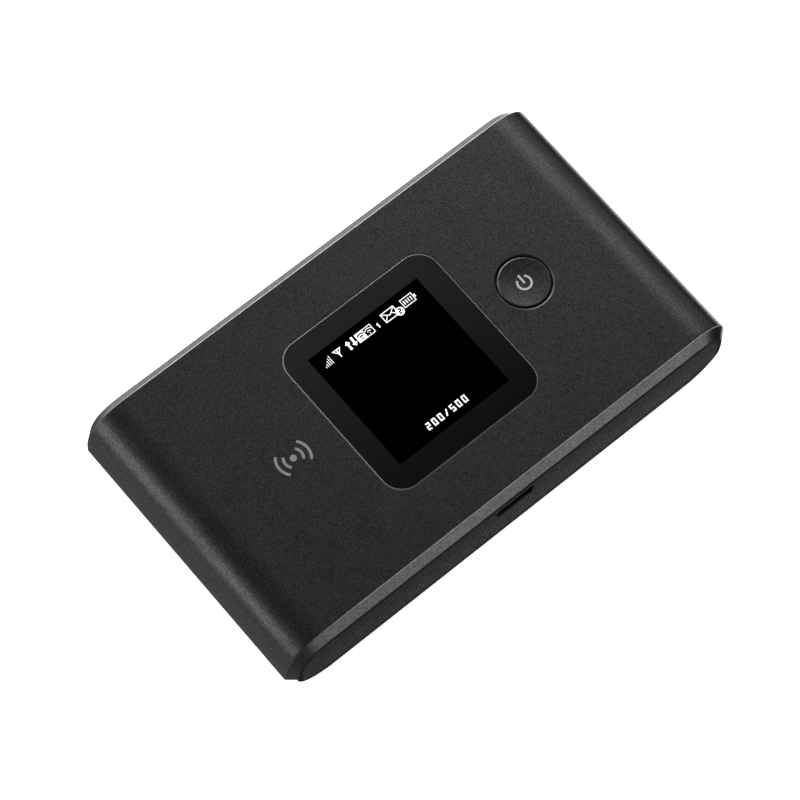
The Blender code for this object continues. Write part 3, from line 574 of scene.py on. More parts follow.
def metal(name, colour, roughness):
    """Metal with faint lines of rolling."""
    finish = Finish(name, colour, roughness, 1.0)
    lines = finish.noise(ROLLING, detail=3.0, stretch=(1.0, 1.0, 12.0))
    finish.tint(finish.spread(lines, 0.0, 1.0), 0.8, 1.15)
    finish.vary_roughness(finish.noise(3.0 * MM, detail=2.0), 0.08)
    finish.raise_by(lines, 0.004 * MM)
    return finish.material


def board_finish():
    """Green solder mask with the lines of buried tracks."""
    finish = Finish("board", (0.012, 0.085, 0.045), 0.35)
    tracks = finish.calculate("PINGPONG", finish.noise(4.0 * MM, detail=2.0), 0.06)
    tracks = finish.spread(tracks, 0.0, 1.0, 0.02, 0.03)
    finish.tint(tracks, 0.75, 1.35)
    finish.raise_by(tracks, 0.01 * MM)
    return finish.material


def film(name, colour, roughness):
    """Plastic film or coated glass, very slightly wavy."""
    finish = Finish(name, colour, roughness)
    finish.tint(finish.noise(2.5 * MM, detail=3.0), 0.8, 1.15)
    finish.raise_by(finish.noise(1.8 * MM, detail=2.0), 0.01 * MM)
    return finish.material


# ---- case outlines


def roll_quarter(inset):
    """(x, z) points down the +X end, from the flat to the upright, moved in by inset along the normal."""
    points = []
    for step in range(ARC_STEPS + 1):
        angle = math.pi / 2 * step / ARC_STEPS
        along = math.sin(angle) ** (2 / ROLL_POWER)
        above = math.cos(angle) ** (2 / ROLL_POWER)
        slope = Vector((along ** (ROLL_POWER - 1) / ROLL_RUN, above ** (ROLL_POWER - 1) / ROLL_DROP))
        slope.normalize()
        x = END_X - ROLL_RUN * (1 - along) - inset * slope.x
        z = TOP - ROLL_DROP * (1 - above) - inset * slope.y
        points.append((x, z))
    return points


def rim_round(x, outwards, radius, steps=4):
    """(x, z) points of the shell's lower rim, rounded towards the middle of its wall."""
    points = []
    for step in range(steps + 1):
        angle = math.pi / 2 * step / steps
        inwards = outwards * radius * (1 - math.cos(angle))
        points.append((x - inwards, PARTING + radius * (1 - math.sin(angle))))
    return points


def both_ends(points):
    """The +X end's points after their mirror images, so that the line runs from the -X end to the +X end."""
    return [(-x, z) for x, z in reversed(points)] + points


def shell_ring(y, outer, inner):
    """One closed slice of the shell at y: its outer line out, its inner line back."""
    rim = min(RIM_RADIUS, (inner - outer) / 2)
    ends = []
    for inset, outwards, radius in ((outer, 1, rim), (inner, -1, rim / 4)):
        ends.append(both_ends(roll_quarter(inset) + rim_round(END_X - inset, outwards, radius)))
    return [(x, y, z) for x, z in ends[0]] + [(x, y, z) for x, z in reversed(ends[1])]


def fillet(before, corner, after, reach, steps=EDGE_STEPS):
    """Points that round a corner of a path, starting reach before it and ending reach after it."""
    before, corner, after = Vector(before), Vector(corner), Vector(after)
    start = corner + (before - corner).normalized() * reach
    end = corner + (after - corner).normalized() * reach
    points = []
    for step in range(steps + 1):
        t = step / steps
        points.append(tuple(start * (1 - t) ** 2 + corner * (2 * t * (1 - t)) + end * t**2))
    return points


def shell_edge():
    """(distance from the side, outer inset) points up the long edge: lip, chamfer, and on to the face."""
    lip, low = (0.0, CHAMFER_DROP + LIP), (0.0, CHAMFER_DROP)
    high, face = (CHAMFER_RUN, 0.0), (2 * LEDGE, 0.0)
    path = fillet(lip, low, high, LIP_REACH)
    for reach in (INNER_EDGE - EDGE_STEP, INNER_EDGE + EDGE_STEP):
        share = reach / CHAMFER_RUN
        path.append((reach, CHAMFER_DROP * (1 - share)))
    return path + fillet(low, high, face, FACE_REACH) + [face]


def loft_band(name, rings):
    """A closed arch through slices like the shell's."""

    def fill(work):
        cap_arches(work, skin(work, rings))

    return mesh_of(name, fill)


def cap_arches(work, made):
    """Closes the two end slices of an arch."""
    half = len(made[0]) // 2
    for ring in (made[0], made[-1]):
        for i in range(half - 1):
            work.faces.new((ring[i], ring[i + 1], ring[-i - 2], ring[-i - 1]))


def make_shell():
    edge = shell_edge()
    slices = []
    for distance, inset in edge:
        inner = CHAMFER_DROP + LIP if distance < INNER_EDGE else WALL
        slices.append((SIDE_Y - distance, inset, inner))
    slices = [(-y, outer, inner) for y, outer, inner in slices] + slices[::-1]
    rings = [shell_ring(*entry) for entry in slices]
    upper = len(edge) - EDGE_STEPS - 2

    def fill(work):
        made = skin(work, rings)
        half = len(made[0]) // 2
        for number, face in enumerate(work.faces):
            band, spot = divmod(number, 2 * half)
            band = min(band, len(rings) - 2 - band)
            # painted shade: the round of the chamfer's lower corner is painted near-black as the shade of
            # the seam below it
            if spot < half and band < EDGE_STEPS:
                face.material_index = PAINTED_SHADE
            # painted highlight: the first strips of the upper corner's round take the pale edge paint
            if spot < half and upper <= band < upper + LINE_BANDS:
                face.material_index = EDGE
        cap_arches(work, made)

    shell = mesh_of("front_shell_body", fill)
    for finish in SHELL_FINISHES:
        shell.data.materials.append(FINISHES[finish])
    above = TOP + PAST
    inside = TOP - WALL - PAST
    clear, radius = WINDOW_SIDE + 2 * WINDOW_GAP, WINDOW_RADIUS + WINDOW_GAP
    ledge = TOP - WINDOW_LEDGE
    levels = [
        (inside, VIEW_SIDE, VIEW_RADIUS),
        (ledge, VIEW_SIDE, VIEW_RADIUS),
        (ledge, clear, radius),
        (above, clear, radius),
    ]
    pocket = loft("pocket", [level(square(side, corner), z) for z, side, corner in levels])
    hole = [
        (0, inside),
        (BUTTON_HOLE, inside),
        (BUTTON_HOLE, TOP - BUTTON_DROP),
        (BUTTON_HOLE + HOLE_FLARE, TOP - 0.1 * INK),
        (BUTTON_HOLE + HOLE_FLARE + INK, TOP + 0.5 * INK),
        (BUTTON_HOLE + HOLE_FLARE + INK, above),
        (0, above),
    ]
    # painted shade: the hole's wall is painted near-black as the shade in the gap round the button; its
    # flare takes the rim finish
    for cutter in (pocket, lathe("button_hole", hole, (BUTTON_X, BUTTON_Y), index=(3, 2, 0, 0))):
        for finish in SHELL_FINISHES:
            cutter.data.materials.append(FINISHES[finish])
        boolean(shell, cutter)
    smooth(shell, 24)
    finishes = [FINISHES[finish] for finish in SHELL_FINISHES]
    place(shell, "case", "shell_plastic", *finishes, stands_for=["front_shell"])
    # painted shade: a near-black strip in each long seam's groove stands for the shade under the chamfer
    for side in (-1, 1):
        ends = (SIDE_Y - SHADE_STRIP_GAP, SIDE_Y - SHADE_STRIP_DEPTH)
        insets = (CHAMFER_DROP + LIP / 2, CHAMFER_DROP + LIP + GROOVE - SHADE_STRIP_GAP)
        strip_rings = [shell_ring(side * y, *insets) for y in ends]
        place(loft_band(f"seam_shade_strip_{side + 2}", strip_rings), "case", "black_plastic", FINISHES["gasket"])
    for number in range(1, 7):
        low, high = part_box(f"frame_screw_{number}")
        spot = ((low.x + high.x) / 2, (low.y + high.y) / 2)
        root, end = TOP - WALL + BOSS_ROOT, TOP - WALL + BOSS_ROOT - PAST
        profile = [(0, root), (BOSS_RADIUS, root), (BOSS_RADIUS, BOSS_FOOT), (BOSS_BORE, BOSS_FOOT)]
        profile += [(BOSS_BORE, end), (0, end)]
        boss = smooth(lathe(f"screw_boss_{number}", profile, spot, 48))
        place(boss, "case", "shell_plastic", FINISHES["shell"])


def belly_quarter(inset):
    """(x, z) points of the cover's +X end, from the resting face up to its rim, moved in by inset."""
    top = COVER_RIM
    points = []
    for step in range(ARC_STEPS + 1):
        angle = math.pi / 2 * (1 - step / ARC_STEPS)
        along = math.cos(angle) ** (2 / COVER_POWER)
        below = math.sin(angle) ** (2 / COVER_POWER)
        slope = Vector((along ** (COVER_POWER - 1) / COVER_RUN, -(below ** (COVER_POWER - 1)) / top))
        slope.normalize()
        x = COVER_HIGH.x - COVER_RUN * (1 - along)
        points.append((x - inset * slope.x, top * (1 - below) - inset * slope.y))
    return points


def cover_ring(y, belly_inset, top_inset):
    """One closed slice of the cover as if it were solid."""
    neck = CHAMFER_DROP + LIP + GROOVE + top_inset
    step = [(END_X - neck, COVER_RIM)]
    half = belly_quarter(belly_inset) + step + roll_quarter(neck)[::-1]
    return [(x, y, z) for x, z in half + [(-x, z) for x, z in reversed(half)]]


def shape_cover(cover, tool, operation="DIFFERENCE", index=None):
    """Cuts the cover by a tool, or joins them. The tool's faces may all take the finish at index."""
    for finish in COVER_FINISHES:
        tool.data.materials.append(FINISHES[finish])
    if index is not None:
        for face in tool.data.polygons:
            face.material_index = index
    boolean(cover, tool, operation)


def make_cover():
    turns = [math.radians(angle) for angle in range(0, 91, 15)]
    slices = []
    for turn in reversed(turns):
        share = 1 - math.cos(turn)
        y = SIDE_Y - COVER_EDGE * (1 - math.sin(turn))
        slices.append((y, COVER_EDGE * share, COVER_TOP_EDGE * share))
    slices = [(-y, low, top) for y, low, top in slices] + slices[::-1]
    cover = loft("rear_cover_body", [cover_ring(*entry) for entry in slices])
    inner = belly_quarter(COVER_WALL)
    half = inner + [(inner[-1][0], COVER_LIP_Z), (END_X * 2, TOP + PAST)]
    outline = half + [(-x, z) for x, z in reversed(half)]
    reach = SIDE_Y - COVER_WALL
    hollow = loft("hollow", [[(x, y, z) for x, z in outline] for y in (-reach, reach)])
    for finish in COVER_FINISHES:
        cover.data.materials.append(FINISHES[finish])
    shape_cover(cover, hollow, index=COVER_INSIDE)
    mouth = []
    bevel = MOUTH_BEVEL
    for y, grow in ((-SIDE_Y - PAST, bevel), (-SIDE_Y, bevel), (bevel - SIDE_Y, 0.0), (PAST - reach, 0.0)):
        half_x, half_z = USB_MOUTH[0] / 2 + grow, USB_MOUTH[1] / 2 + grow
        outline = rounded_rectangle((-half_x, USB_Z - half_z), (half_x, USB_Z + half_z), MOUTH_RADIUS + grow)
        mouth.append([(x, y, z) for x, z in outline])
    # painted shade: the mouth's bevel keeps the cover finish and its inside walls are painted near-black as
    # the shade in the recess
    shape_cover(cover, loft("mouth", mouth, (0, 0, 1)))
    scoop = []
    near, far, high = COVER_HIGH.x - SCOOP_DEPTH, END_X * 2, COVER_RIM + PAST
    for step in range(SCOOP_STEPS + 1):
        turn = math.pi * step / SCOOP_STEPS
        low = COVER_RIM - 2 * (SCOOP_SIZE * math.sin(turn) + SCOOP_LEAST)
        y = SCOOP_Y - SCOOP_HALF * math.cos(turn)
        outline = [(near - SCOOP_LEAST, low), (far, low), (far, high), (near, high)]
        scoop.append([(x, y, z) for x, z in outline])
    shape_cover(cover, loft("scoop", scoop), index=COVER_INSIDE)
    for side in (-1, 1):
        root, tip = side * (reach + HOOK_ROOT), side * (reach - HOOK_TIP)
        outline = list(zip((root, tip, tip, root), (HOOK_ROOT_Z[0], *HOOK_TIP_Z, HOOK_ROOT_Z[1])))
        for x in HOOK_XS:
            hook = loft("hook", [[(at, y, z) for y, z in outline] for at in (x - HOOK_HALF, x + HOOK_HALF)])
            shape_cover(cover, hook, "UNION", COVER_INSIDE)
    smooth(cover)
    finishes = [FINISHES[finish] for finish in COVER_FINISHES]
    place(cover, "rear_cover", "cover_plastic", *finishes, stands_for=["rear_cover"])


# ---- window


def stroke(work, points, width, low, high, closed=False):
    """A thin bar of even width along a line of (x, y) points."""
    points = [Vector(p) for p in points]
    count = len(points)
    sides = ([], [])
    for i, point in enumerate(points):
        before = points[i - 1] if i or closed else point
        after = points[(i + 1) % count] if i < count - 1 or closed else point
        first = (point - before).normalized() if point != before else (after - point).normalized()
        second = (after - point).normalized() if point != after else first
        normal = Vector((-(first + second).y, (first + second).x)).normalized()
        spread = width / 2 / max(0.4, normal.dot(Vector((-first.y, first.x))))
        for side, sign in zip(sides, (1, -1)):
            side.append(point + normal * spread * sign)
    rings = []
    for left, right in zip(*sides):
        corners = ((left, low), (left, high), (right, high), (right, low))
        rings.append([work.verts.new((p.x, p.y, z)) for p, z in corners])
    pairs = list(zip(rings, rings[1:])) + ([(rings[-1], rings[0])] if closed else [])
    for ring, following in pairs:
        for k in range(4):
            work.faces.new((ring[k], ring[(k + 1) % 4], following[(k + 1) % 4], following[k]))
    if not closed:
        work.faces.new(rings[0])
        work.faces.new(rings[-1])


def fill_shape(work, outline, low, high):
    rings = skin(work, [level(outline, low), level(outline, high)])
    work.faces.new(rings[0])
    work.faces.new(rings[1])


def arc(centre, radius, start, end, steps=16):
    angles = [math.radians(start + (end - start) * k / steps) for k in range(steps + 1)]
    return [(centre[0] + radius * math.cos(a), centre[1] + radius * math.sin(a)) for a in angles]


DIGITS = {
    # corners of each digit's line in a box one wide and one high
    "0": [(0, 0), (1, 0), (1, 1), (0, 1)],
    "1": [(0, 0.8), (0.5, 1), (0.5, 0)],
    "2": [(0, 1), (1, 1), (1, 0.5), (0, 0.5), (0, 0), (1, 0)],
    "5": [(1, 1), (0, 1), (0, 0.5), (1, 0.5), (1, 0), (0, 0)],
    "/": [(0, 0), (1, 1)],
}


def digit(work, character, corner, size, width, low, high):
    """A digit of even line width whose line fills a box of that size from corner."""
    points = [(corner[0] + u * size[0], corner[1] + v * size[1]) for u, v in DIGITS[character]]
    stroke(work, points, width, low, high, character == "0")


def rectangle(left, bottom, right, top):
    return [(left, bottom), (right, bottom), (right, top), (left, top)]


def moved(points, x, y):
    return [(u + x, v + y) for u, v in points]


ARROW = [(-0.21, 0), (0.21, 0), (0.21, 1.2), (0.55, 1.2), (0, 1.9), (-0.55, 1.2), (-0.21, 1.2)]


def status_row(work, low, high):
    """Signal bars, aerial, arrows, radio box, count, envelope with a badge, and battery, in millimetres."""
    for k in range(5):
        x = -10.87 + 0.37 * k
        block(work, (x, 9.35, low), (x + 0.12, 9.7 + 0.34 * k, high))
    stroke(work, [(-8.25, 11.0), (-6.75, 11.0), (-7.5, 10.1)], 0.17, low, high, True)
    stroke(work, [(-7.5, 10.95), (-7.5, 9.4)], 0.19, low, high)
    fill_shape(work, moved(ARROW, -5.25, 9.3), low, high)
    fill_shape(work, moved([(-u, -v) for u, v in ARROW], -4.1, 11.25), low, high)
    stroke(work, rectangle(-3.35, 9.4, 0.05, 11.1), 0.14, low, high, True)
    fill_shape(work, rectangle(-3.3, 9.45, -1.6, 11.05), low, high)
    waves(work, (-0.8, 9.75), 0.15, low, high)
    digit(work, "1", (0.95, 9.45), (0.45, 0.8), 0.22, low, high)
    stroke(work, rectangle(2.6, 9.4, 5.4, 11.2), 0.17, low, high, True)
    stroke(work, [(2.65, 11.1), (4.0, 10.15), (5.35, 11.1)], 0.15, low, high)
    stroke(work, [(2.65, 9.5), (3.55, 10.4)], 0.16, low, high)
    stroke(work, [(5.35, 9.5), (4.45, 10.4)], 0.16, low, high)
    fill_shape(work, arc((5.8, 9.6), 0.82, 0, 345, 23), low, high)
    stroke(work, rectangle(6.95, 9.55, 9.4, 11.15), 0.15, low, high, True)
    block(work, (9.55, 10.05, low), (9.85, 10.65, high))
    for k in range(4):
        x = 7.3 + 0.5 * k
        block(work, (x, 9.95, low), (x + 0.19, 10.75, high))


def waves(work, foot, width, low, high):
    """A dot under two radio waves, in millimetres."""
    fill_shape(work, arc(foot, width * 0.7, 0, 330, 11), low, high)
    for radius in (0.5, 0.98):
        stroke(work, arc(foot, radius, 45, 135), width, low, high)


def counter_row(work, low, high):
    """A row of digits with a slash in the middle, as on any usage counter, in millimetres."""
    for k, character in enumerate("200/500"):
        digit(work, character, (-4.53 + 1.342 * k, -10.53), (0.6, 1.16), 0.25, low, high)


def to_metres(work):
    """Scales marks drawn in millimetres, whose heights are in metres already."""
    for vertex in work.verts:
        vertex.co.x *= MM
        vertex.co.y *= MM


def make_window():
    levels = ((0.0, WINDOW_LOW.z), (0.0, TOP - WINDOW_BEVEL * 0.6), (WINDOW_BEVEL, TOP))
    rings = [level(square(WINDOW_SIDE - 2 * inset, WINDOW_RADIUS - inset), z) for inset, z in levels]
    pane = loft("window_pane", rings, (0, 1))
    for finish in ("pane", "line"):
        pane.data.materials.append(FINISHES[finish])
    sight = rounded_rectangle(LIT_LOW, LIT_HIGH, LIT_RADIUS, 2)
    cutter = plate("sight", sight, TOP - PICTURE_DEPTH, TOP + PAST)
    cutter.data.materials.append(FINISHES["pane"])
    boolean(pane, cutter)
    smooth(pane, 20)
    place(pane, "case", "window_pane", FINISHES["pane"], FINISHES["line"], stands_for=["display_window"])
    picture = plate("display_picture", sight, TOP - PICTURE_DEPTH, TOP - 2 * INK)
    place(picture, "case", "display_glass", FINISHES["picture"])
    low, high = TOP - 2 * INK, TOP - 1.5 * INK

    def lit(work):
        status_row(work, low, high)
        counter_row(work, low, high)
        to_metres(work)

    def unlit(work):
        waves(work, (-2.45, 9.75), 0.26, high, high + INK / 4)
        digit(work, "2", (5.58, 9.25), (0.46, 0.8), 0.24, high, high + INK / 4)
        to_metres(work)

    place(mesh_of("display_marks", lit), "case", "display_glass", FINISHES["lit"])
    place(mesh_of("display_unlit_marks", unlit), "case", "display_glass", FINISHES["picture"])


def make_mark():
    """A plain wireless sign printed on the face: a dot between two pairs of waves."""
    low, high = TOP, TOP + INK

    def fill(work):
        fill_shape(work, arc(SIGN_AT, SIGN_DOT, 0, 352, 44), low, high)
        for middle in (0, 180):
            for radius in SIGN_RADII:
                wave = arc(SIGN_AT, radius, middle - SIGN_SPREAD, middle + SIGN_SPREAD, 24)
                stroke(work, wave, SIGN_WIDTH, low, high)

    place(mesh_of("wireless_sign", fill), "case", "shell_plastic", FINISHES["ink"])


# ---- button


def dish_height(distance):
    """Height of the button's dished face at that distance from its middle."""
    rim = BUTTON_RADIUS - BUTTON_BEVEL
    share = min(1.0, distance / rim)
    return TOP - BUTTON_DISH * (1 - share**2)


def make_button():
    rim = BUTTON_RADIUS - BUTTON_BEVEL
    profile = [(0.0, dish_height(0.0))]
    profile += [(rim * k / 16, dish_height(rim * k / 16)) for k in range(1, 17)]
    profile += [(BUTTON_RADIUS - INK, TOP - BUTTON_DROP), (BUTTON_RADIUS, TOP - BUTTON_DROP - 2 * INK)]
    flange, low = BUTTON_HIGH.x - BUTTON_X, BUTTON_LOW.z
    flange_low, flange_high = low + FLANGE_LOW, low + FLANGE_HIGH
    profile += [(BUTTON_RADIUS, flange_high), (flange, flange_high), (flange, flange_low)]
    profile += [(STEM_RADIUS, flange_low), (STEM_RADIUS, low), (0.0, low)]
    # painted shade: the cap's bevel takes the rim finish, and its side below is painted near-black as the
    # shade in the gap
    cap = lathe("power_button_cap", profile, (BUTTON_X, BUTTON_Y), index=[0] * 15 + [1, 2, 2])
    finishes = [FINISHES[finish] for finish in ("button", "rim", "gasket")]
    place(smooth(cap, 15), "power_button", "button_plastic", *finishes, stands_for=["power_button"])

    def fill(work):
        stroke(work, arc((0.0, 0.0), POWER_RADIUS, *POWER_ARC, 40), POWER_WIDTH, 0.0, INK)
        stroke(work, [(0.0, y) for y in POWER_BAR], POWER_WIDTH, 0.0, INK)
        for vertex in work.verts:
            distance = math.hypot(vertex.co.x, vertex.co.y)
            vertex.co.z += dish_height(distance) - SINK
            vertex.co.x += BUTTON_X
            vertex.co.y += BUTTON_Y

    place(mesh_of("power_sign", fill), "power_button", "button_plastic", FINISHES["bright_ink"])


# ---- pieces inside


def make_battery():
    low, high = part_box("battery_pack")
    rings = []
    edge = PACK_EDGE
    for k in range(PACK_STEPS + 1):
        turn = math.pi * k / PACK_STEPS
        inset = edge * (1 - math.sin(turn))
        z = high.z - edge * (1 + math.cos(turn))
        if k <= PACK_STEPS / 2:
            z = low.z + edge * (1 - math.cos(turn))
        corners = (low.x + inset, low.y + inset), (high.x - inset, high.y - inset)
        rings.append(level(rounded_rectangle(*corners, PACK_RADIUS - inset / 2), z))
    pack = smooth(loft("battery_body", rings), 40)
    place(pack, "battery", "battery_wrap", FINISHES["wrap"], stands_for=["battery_pack"])
    for name, z, side in (("battery_label_top", high.z, 1), ("battery_label_bottom", low.z, -1)):
        first = (low.x + LABEL_INSET, low.y + LABEL_INSET)
        outline = rounded_rectangle(first, (high.x - LABEL_END, high.y - LABEL_INSET), LABEL_RADIUS)
        bottom, top = sorted((z, z + side * LABEL_THICKNESS))
        place(plate(name, outline, bottom, top), "battery", "paper_label", FINISHES["label"])

        def fill(work, z=z, side=side):
            bottom, top = sorted((z, z + side * POLE_THICKNESS))
            x = high.x - LABEL_END / 2
            for y, plus in ((-POLE_Y, False), (POLE_Y, True)):
                stroke(work, [(x, y - POLE_REACH), (x, y + POLE_REACH)], POLE_WIDTH, bottom, top)
                if plus:
                    for start, end in ((-POLE_REACH, -POLE_WIDTH / 2), (POLE_WIDTH / 2, POLE_REACH)):
                        stroke(work, [(x + start, y), (x + end, y)], POLE_WIDTH, bottom, top)

        place(mesh_of(name.replace("label", "poles"), fill), "battery", "battery_wrap", FINISHES["ink"])


def make_usb():
    low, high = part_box("usb_shell")
    corner = USB_CORNER

    def outline(inset):
        half, bottom, top = high.x - inset, low.z + inset, high.z - inset
        path = [(half, top), (-half, top), (-half, bottom + corner), (corner - half, bottom)]
        path += [(half - corner, bottom), (half, bottom + corner)]
        points = []
        for i, point in enumerate(path):
            points += fillet(path[i - 1], point, path[(i + 1) % len(path)], USB_ROUND, 3)
        return points

    shell = loft("usb_socket", [[(x, y, z) for x, z in outline(0.0)] for y in (low.y, high.y)])
    levels = (
        (low.y - PAST, USB_WALL / 3),
        (low.y - INK / 2, USB_WALL / 2),
        (low.y + USB_BACK / 2, USB_WALL),
        (high.y - USB_BACK, USB_WALL),
    )
    boolean(shell, loft("room", [[(x, y, z) for x, z in outline(inset)] for y, inset in levels]))
    smooth(shell, 35)
    place(shell, "case", "steel", FINISHES["steel"], stands_for=["usb_shell"])
    low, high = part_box("usb_tongue")

    def fill(work):
        out, into = CONTACT_RISE
        for k in range(5):
            x = (k - 2) * CONTACT_PITCH
            first = (x - CONTACT_HALF, low.y + CONTACT_START, low.z - out)
            block(work, first, (x + CONTACT_HALF, high.y, low.z + into))

    place(mesh_of("usb_contacts", fill), "case", "gold_contact", FINISHES["gold"])


NODE_FINISHES = {
    "frame": ["mid_frame"],
    "carrier": ["left_antenna_carrier", "right_antenna_carrier"],
    "board": ["main_board"],
    "black": [
        "battery_connector",
        "sim_contact_block",
        "usb_tongue",
        "power_switch_plunger",
        "reset_switch_plunger",
        *[f"{kind}_chip" for kind in ("amplifier", "baseband", "memory", "power", "radio", "wifi")],
    ],
    "steel": [
        "sim_socket",
        *[f"{kind}_shield" for kind in ("baseband", "radio", "power", "wifi")],
        "power_switch_body",
        "reset_switch_body",
        "wifi_antenna",
        *[f"frame_screw_{number}" for number in range(1, 7)],
    ],
    "gold": [f"{kind}_{number}" for kind in ("battery_pad", "contact_spring") for number in range(1, 4)],
    "copper": ["main_antenna", "diversity_antenna"],
    "white": ["lcd_frame", "sim_card", "flex_connector", "lcd_light_guide"],
    "glass_black": ["lcd_glass"],
    "amber": ["lcd_flex"],
    "foam": ["screen_gasket", "window_adhesive"],
    "gel": ["thermal_pad"],
    "label": ["bay_label"],
}


def dress_nodes():
    """Materials and softened edges for the nodes that show as they are."""
    for finish, names in NODE_FINISHES.items():
        for name in names:
            node = NODES[name]
            weld = node.modifiers.new("weld", "WELD")
            weld.merge_threshold = MERGE
            node.data.materials.clear()
            node.data.materials.append(FINISHES[finish])
            low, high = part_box(name)
            thinnest = min(high - low)
            soften(node, min(NODE_EDGE, thinnest * NODE_EDGE_SHARE))


# ---- stage


def make_stage():
    floor = plate("floor", rounded_rectangle((-3.0, -3.0), (3.0, 3.0), 0.5), -0.01, COVER_LOW.z)
    pale = bpy.data.materials.new("pale_floor")
    pale.use_nodes = True
    shader = pale.node_tree.nodes["Principled BSDF"]
    shader.inputs["Base Color"].default_value = (0.9, 0.9, 0.9, 1.0)
    shader.inputs["Roughness"].default_value = 0.9
    shader.inputs["Specular IOR Level"].default_value = 0.0
    shader.inputs["Emission Color"].default_value = (1.0, 1.0, 1.0, 1.0)
    shader.inputs["Emission Strength"].default_value = 1.0
    floor.data.materials.append(pale)
    floor.visible_glossy = False
    floor.visible_diffuse = False
    floor.visible_shadow = False


def make_world():
    """White behind everything; for the case, dim light with a paler panel high on the far side."""
    world = bpy.data.worlds.new("studio")
    bpy.context.scene.world = world
    world.use_nodes = True
    graph = Graph(world.node_tree)
    x, y, z = graph.axes(graph.node("ShaderNodeTexCoord").outputs["Generated"])
    across = graph.calculate("SUBTRACT", y, graph.calculate("MULTIPLY", x, 0.05))
    height = graph.calculate("MAXIMUM", z, 0.05)
    panel = graph.spread(graph.calculate("DIVIDE", across, height), *SKY_LIGHT, *SKY_SLOPES, "SMOOTHSTEP")
    fade = graph.spread(graph.calculate("DIVIDE", x, height), SKY_FADE, 1.0, *SKY_FADE_SLOPES, "SMOOTHSTEP")
    above = graph.calculate("MULTIPLY", panel, fade)
    away = graph.calculate("SUBTRACT", 1.0, x)
    below = graph.calculate("MULTIPLY", graph.calculate("MULTIPLY", away, away), GROUND_LIGHT)
    up = graph.spread(z, 0.0, 1.0, -0.1, 0.1)
    parts = [graph.calculate("MULTIPLY", up, above)]
    parts.append(graph.calculate("MULTIPLY", graph.calculate("SUBTRACT", 1.0, up), below))
    dim = world.node_tree.nodes["Background"]
    white = graph.node("ShaderNodeBackground")
    for background in (dim, white):
        background.inputs["Color"].default_value = (1.0, 1.0, 1.0, 1.0)
    graph.link(graph.calculate("ADD", *parts), dim.inputs["Strength"])
    mix = graph.node("ShaderNodeMixShader")
    graph.link(graph.node("ShaderNodeLightPath").outputs["Is Camera Ray"], mix.inputs["Fac"])
    graph.link(dim.outputs["Background"], mix.inputs[1])
    graph.link(white.outputs["Background"], mix.inputs[2])
    graph.link(mix.outputs["Shader"], world.node_tree.nodes["World Output"].inputs["Surface"])


SKY_LIGHT = (0.02, 0.68)  # brightness on the near side and on the far side
SKY_SLOPES = (0.206, 0.386)  # how far over Z the direction leans away where the one turns into the other
SKY_FADE = 0.15  # share of the panel's light that is left over the -X end
SKY_FADE_SLOPES = (-0.2, 0.15)
GROUND_LIGHT = 0.13
CASE_MIDDLE = Vector((0.0, 0.0, TOP / 2))
SOFTBOXES = {
    # name: (azimuth from +X, elevation, distance, width, height, brightness)
    "key_softbox": (32, 42, 0.6, 0.36, 0.26, 2.3),
    "left_strip": (143, 20, 0.5, 0.62, 0.25, 3.35),
    "left_low": (163, -22, 0.5, 0.5, 0.2, 0.2),
    "front_strip": (-75, 2, 0.42, 0.42, 0.11, 5.0),
    "far_box": (74, 0, 0.5, 0.55, 0.52, 2.7),
    "rim_low": (25, -46, 0.5, 0.4, 0.26, 2.6),
}


def make_lights():
    """Soft boxes aimed at the case. Brightness is the radiance of each box's face."""
    for name, (azimuth, elevation, distance, width, height, brightness) in SOFTBOXES.items():
        light = bpy.data.lights.new(name, "AREA")
        light.shape = "RECTANGLE"
        light.size = width
        light.size_y = height
        light.energy = brightness * math.pi * width * height
        obj = bpy.data.objects.new(name, light)
        bpy.context.scene.collection.objects.link(obj)
        a, e = math.radians(azimuth), math.radians(elevation)
        away = Vector((math.cos(a) * math.cos(e), math.sin(a) * math.cos(e), math.sin(e)))
        obj.location = CASE_MIDDLE + away * distance
        obj.rotation_euler = away.to_track_quat("Z", "Y").to_euler()
        obj.visible_camera = False


CAMERA_AIM = Vector((-4.94, -3.13, 16.4)) * MM
CAMERA_AZIMUTH = -45.03
CAMERA_ELEVATION = 67.85
CAMERA_ROLL = 5.35
CAMERA_DISTANCE = 586.9 * MM
CAMERA_LENS = 153.74
SENSOR = 36.0


def make_camera():
    camera = bpy.data.cameras.new("camera")
    camera.sensor_width = SENSOR
    camera.lens = CAMERA_LENS
    camera.clip_start = 10 * MM
    camera.clip_end = 20.0
    obj = bpy.data.objects.new("camera", camera)
    bpy.context.scene.collection.objects.link(obj)
    a, e = math.radians(CAMERA_AZIMUTH), math.radians(CAMERA_ELEVATION)
    back = Vector((math.sin(a) * math.cos(e), -math.cos(a) * math.cos(e), math.sin(e)))
    level_right = Vector((math.cos(a), math.sin(a), 0.0))
    turn = Matrix.Rotation(math.radians(CAMERA_ROLL), 3, back)
    right = turn @ level_right
    up = back.cross(right)
    rotation = Matrix((right, up, back)).transposed().to_4x4()
    obj.matrix_world = Matrix.Translation(CAMERA_AIM + back * CAMERA_DISTANCE) @ rotation
    bpy.context.scene.camera = obj


# ---- making


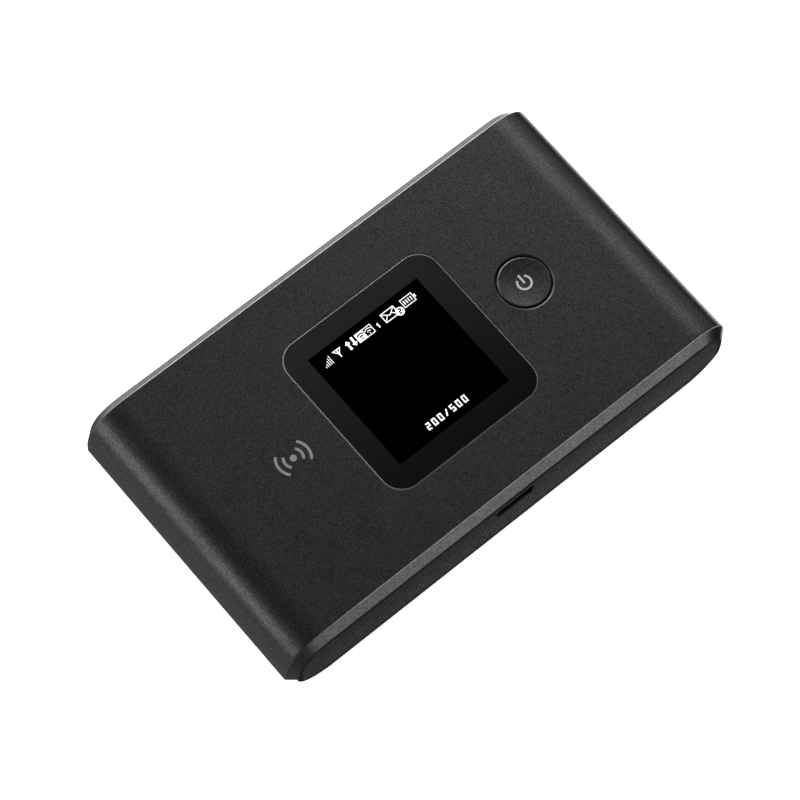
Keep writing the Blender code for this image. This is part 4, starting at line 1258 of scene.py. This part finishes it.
FINISHES = {
    "shell": painted("shell_paint", (0.0155, 0.0155, 0.0158), 0.34).material,
    "edge": edge_finish(),
    "rim": painted("turned_rim", (0.024, 0.024, 0.025), 0.27, 1.0, 0.14 * MM, 0.7, 1.3).material,
    "line": painted("window_line", (0.35, 0.35, 0.355), 0.4, 0.5, 0.14 * MM, 0.8, 1.2).material,
    # painted shade: near-black for the seam under the chamfer, the gap round the button, the button's side
    # and the inside of the USB mouth
    "gasket": moulded("gasket", (0.002, 0.002, 0.002), 0.8),
    "cover": cover_finish(),
    "cover_inside": moulded("cover_inside", (0.02, 0.02, 0.0205), 0.5),
    "button": painted("button_paint", (0.016, 0.016, 0.0163), 0.34).material,
    "pane": pane_finish(),
    "picture": picture_finish(),
    "lit": lit_finish(),
    "ink": ink_finish("printed_mark", 0.42),
    "bright_ink": ink_finish("printed_sign", 0.85),
    "frame": moulded("frame_plastic", (0.045, 0.045, 0.048), 0.5),
    "carrier": moulded("carrier_plastic", (0.5, 0.5, 0.47), 0.5),
    "board": board_finish(),
    "black": moulded("black_resin", (0.018, 0.018, 0.02), 0.45, 0.1 * MM),
    "steel": metal("steel", (0.62, 0.62, 0.61), 0.32),
    "gold": metal("gold_contact", (0.85, 0.62, 0.25), 0.25),
    "copper": metal("copper_foil", (0.75, 0.42, 0.2), 0.3),
    "wrap": moulded("battery_wrap", (0.03, 0.03, 0.033), 0.4, 0.3 * MM),
    "white": moulded("white_plastic", (0.75, 0.75, 0.73), 0.45),
    "glass_black": film("display_glass", (0.01, 0.01, 0.012), 0.08),
    "amber": film("flex_film", (0.45, 0.2, 0.04), 0.3),
    "foam": moulded("foam", (0.02, 0.02, 0.02), 0.9, 0.3 * MM, 0.03 * MM),
    "gel": moulded("thermal_gel", (0.45, 0.47, 0.55), 0.7, 0.4 * MM, 0.02 * MM),
    "label": moulded("paper_label", (0.62, 0.62, 0.6), 0.6, 0.25 * MM, 0.003 * MM, (0.95, 1.03)),
}

bpy.context.scene.view_settings.view_transform = "Standard"
make_camera()
make_shell()
make_cover()
make_window()
make_mark()
make_button()
make_battery()
make_usb()
dress_nodes()
make_stage()
make_world()
make_lights()
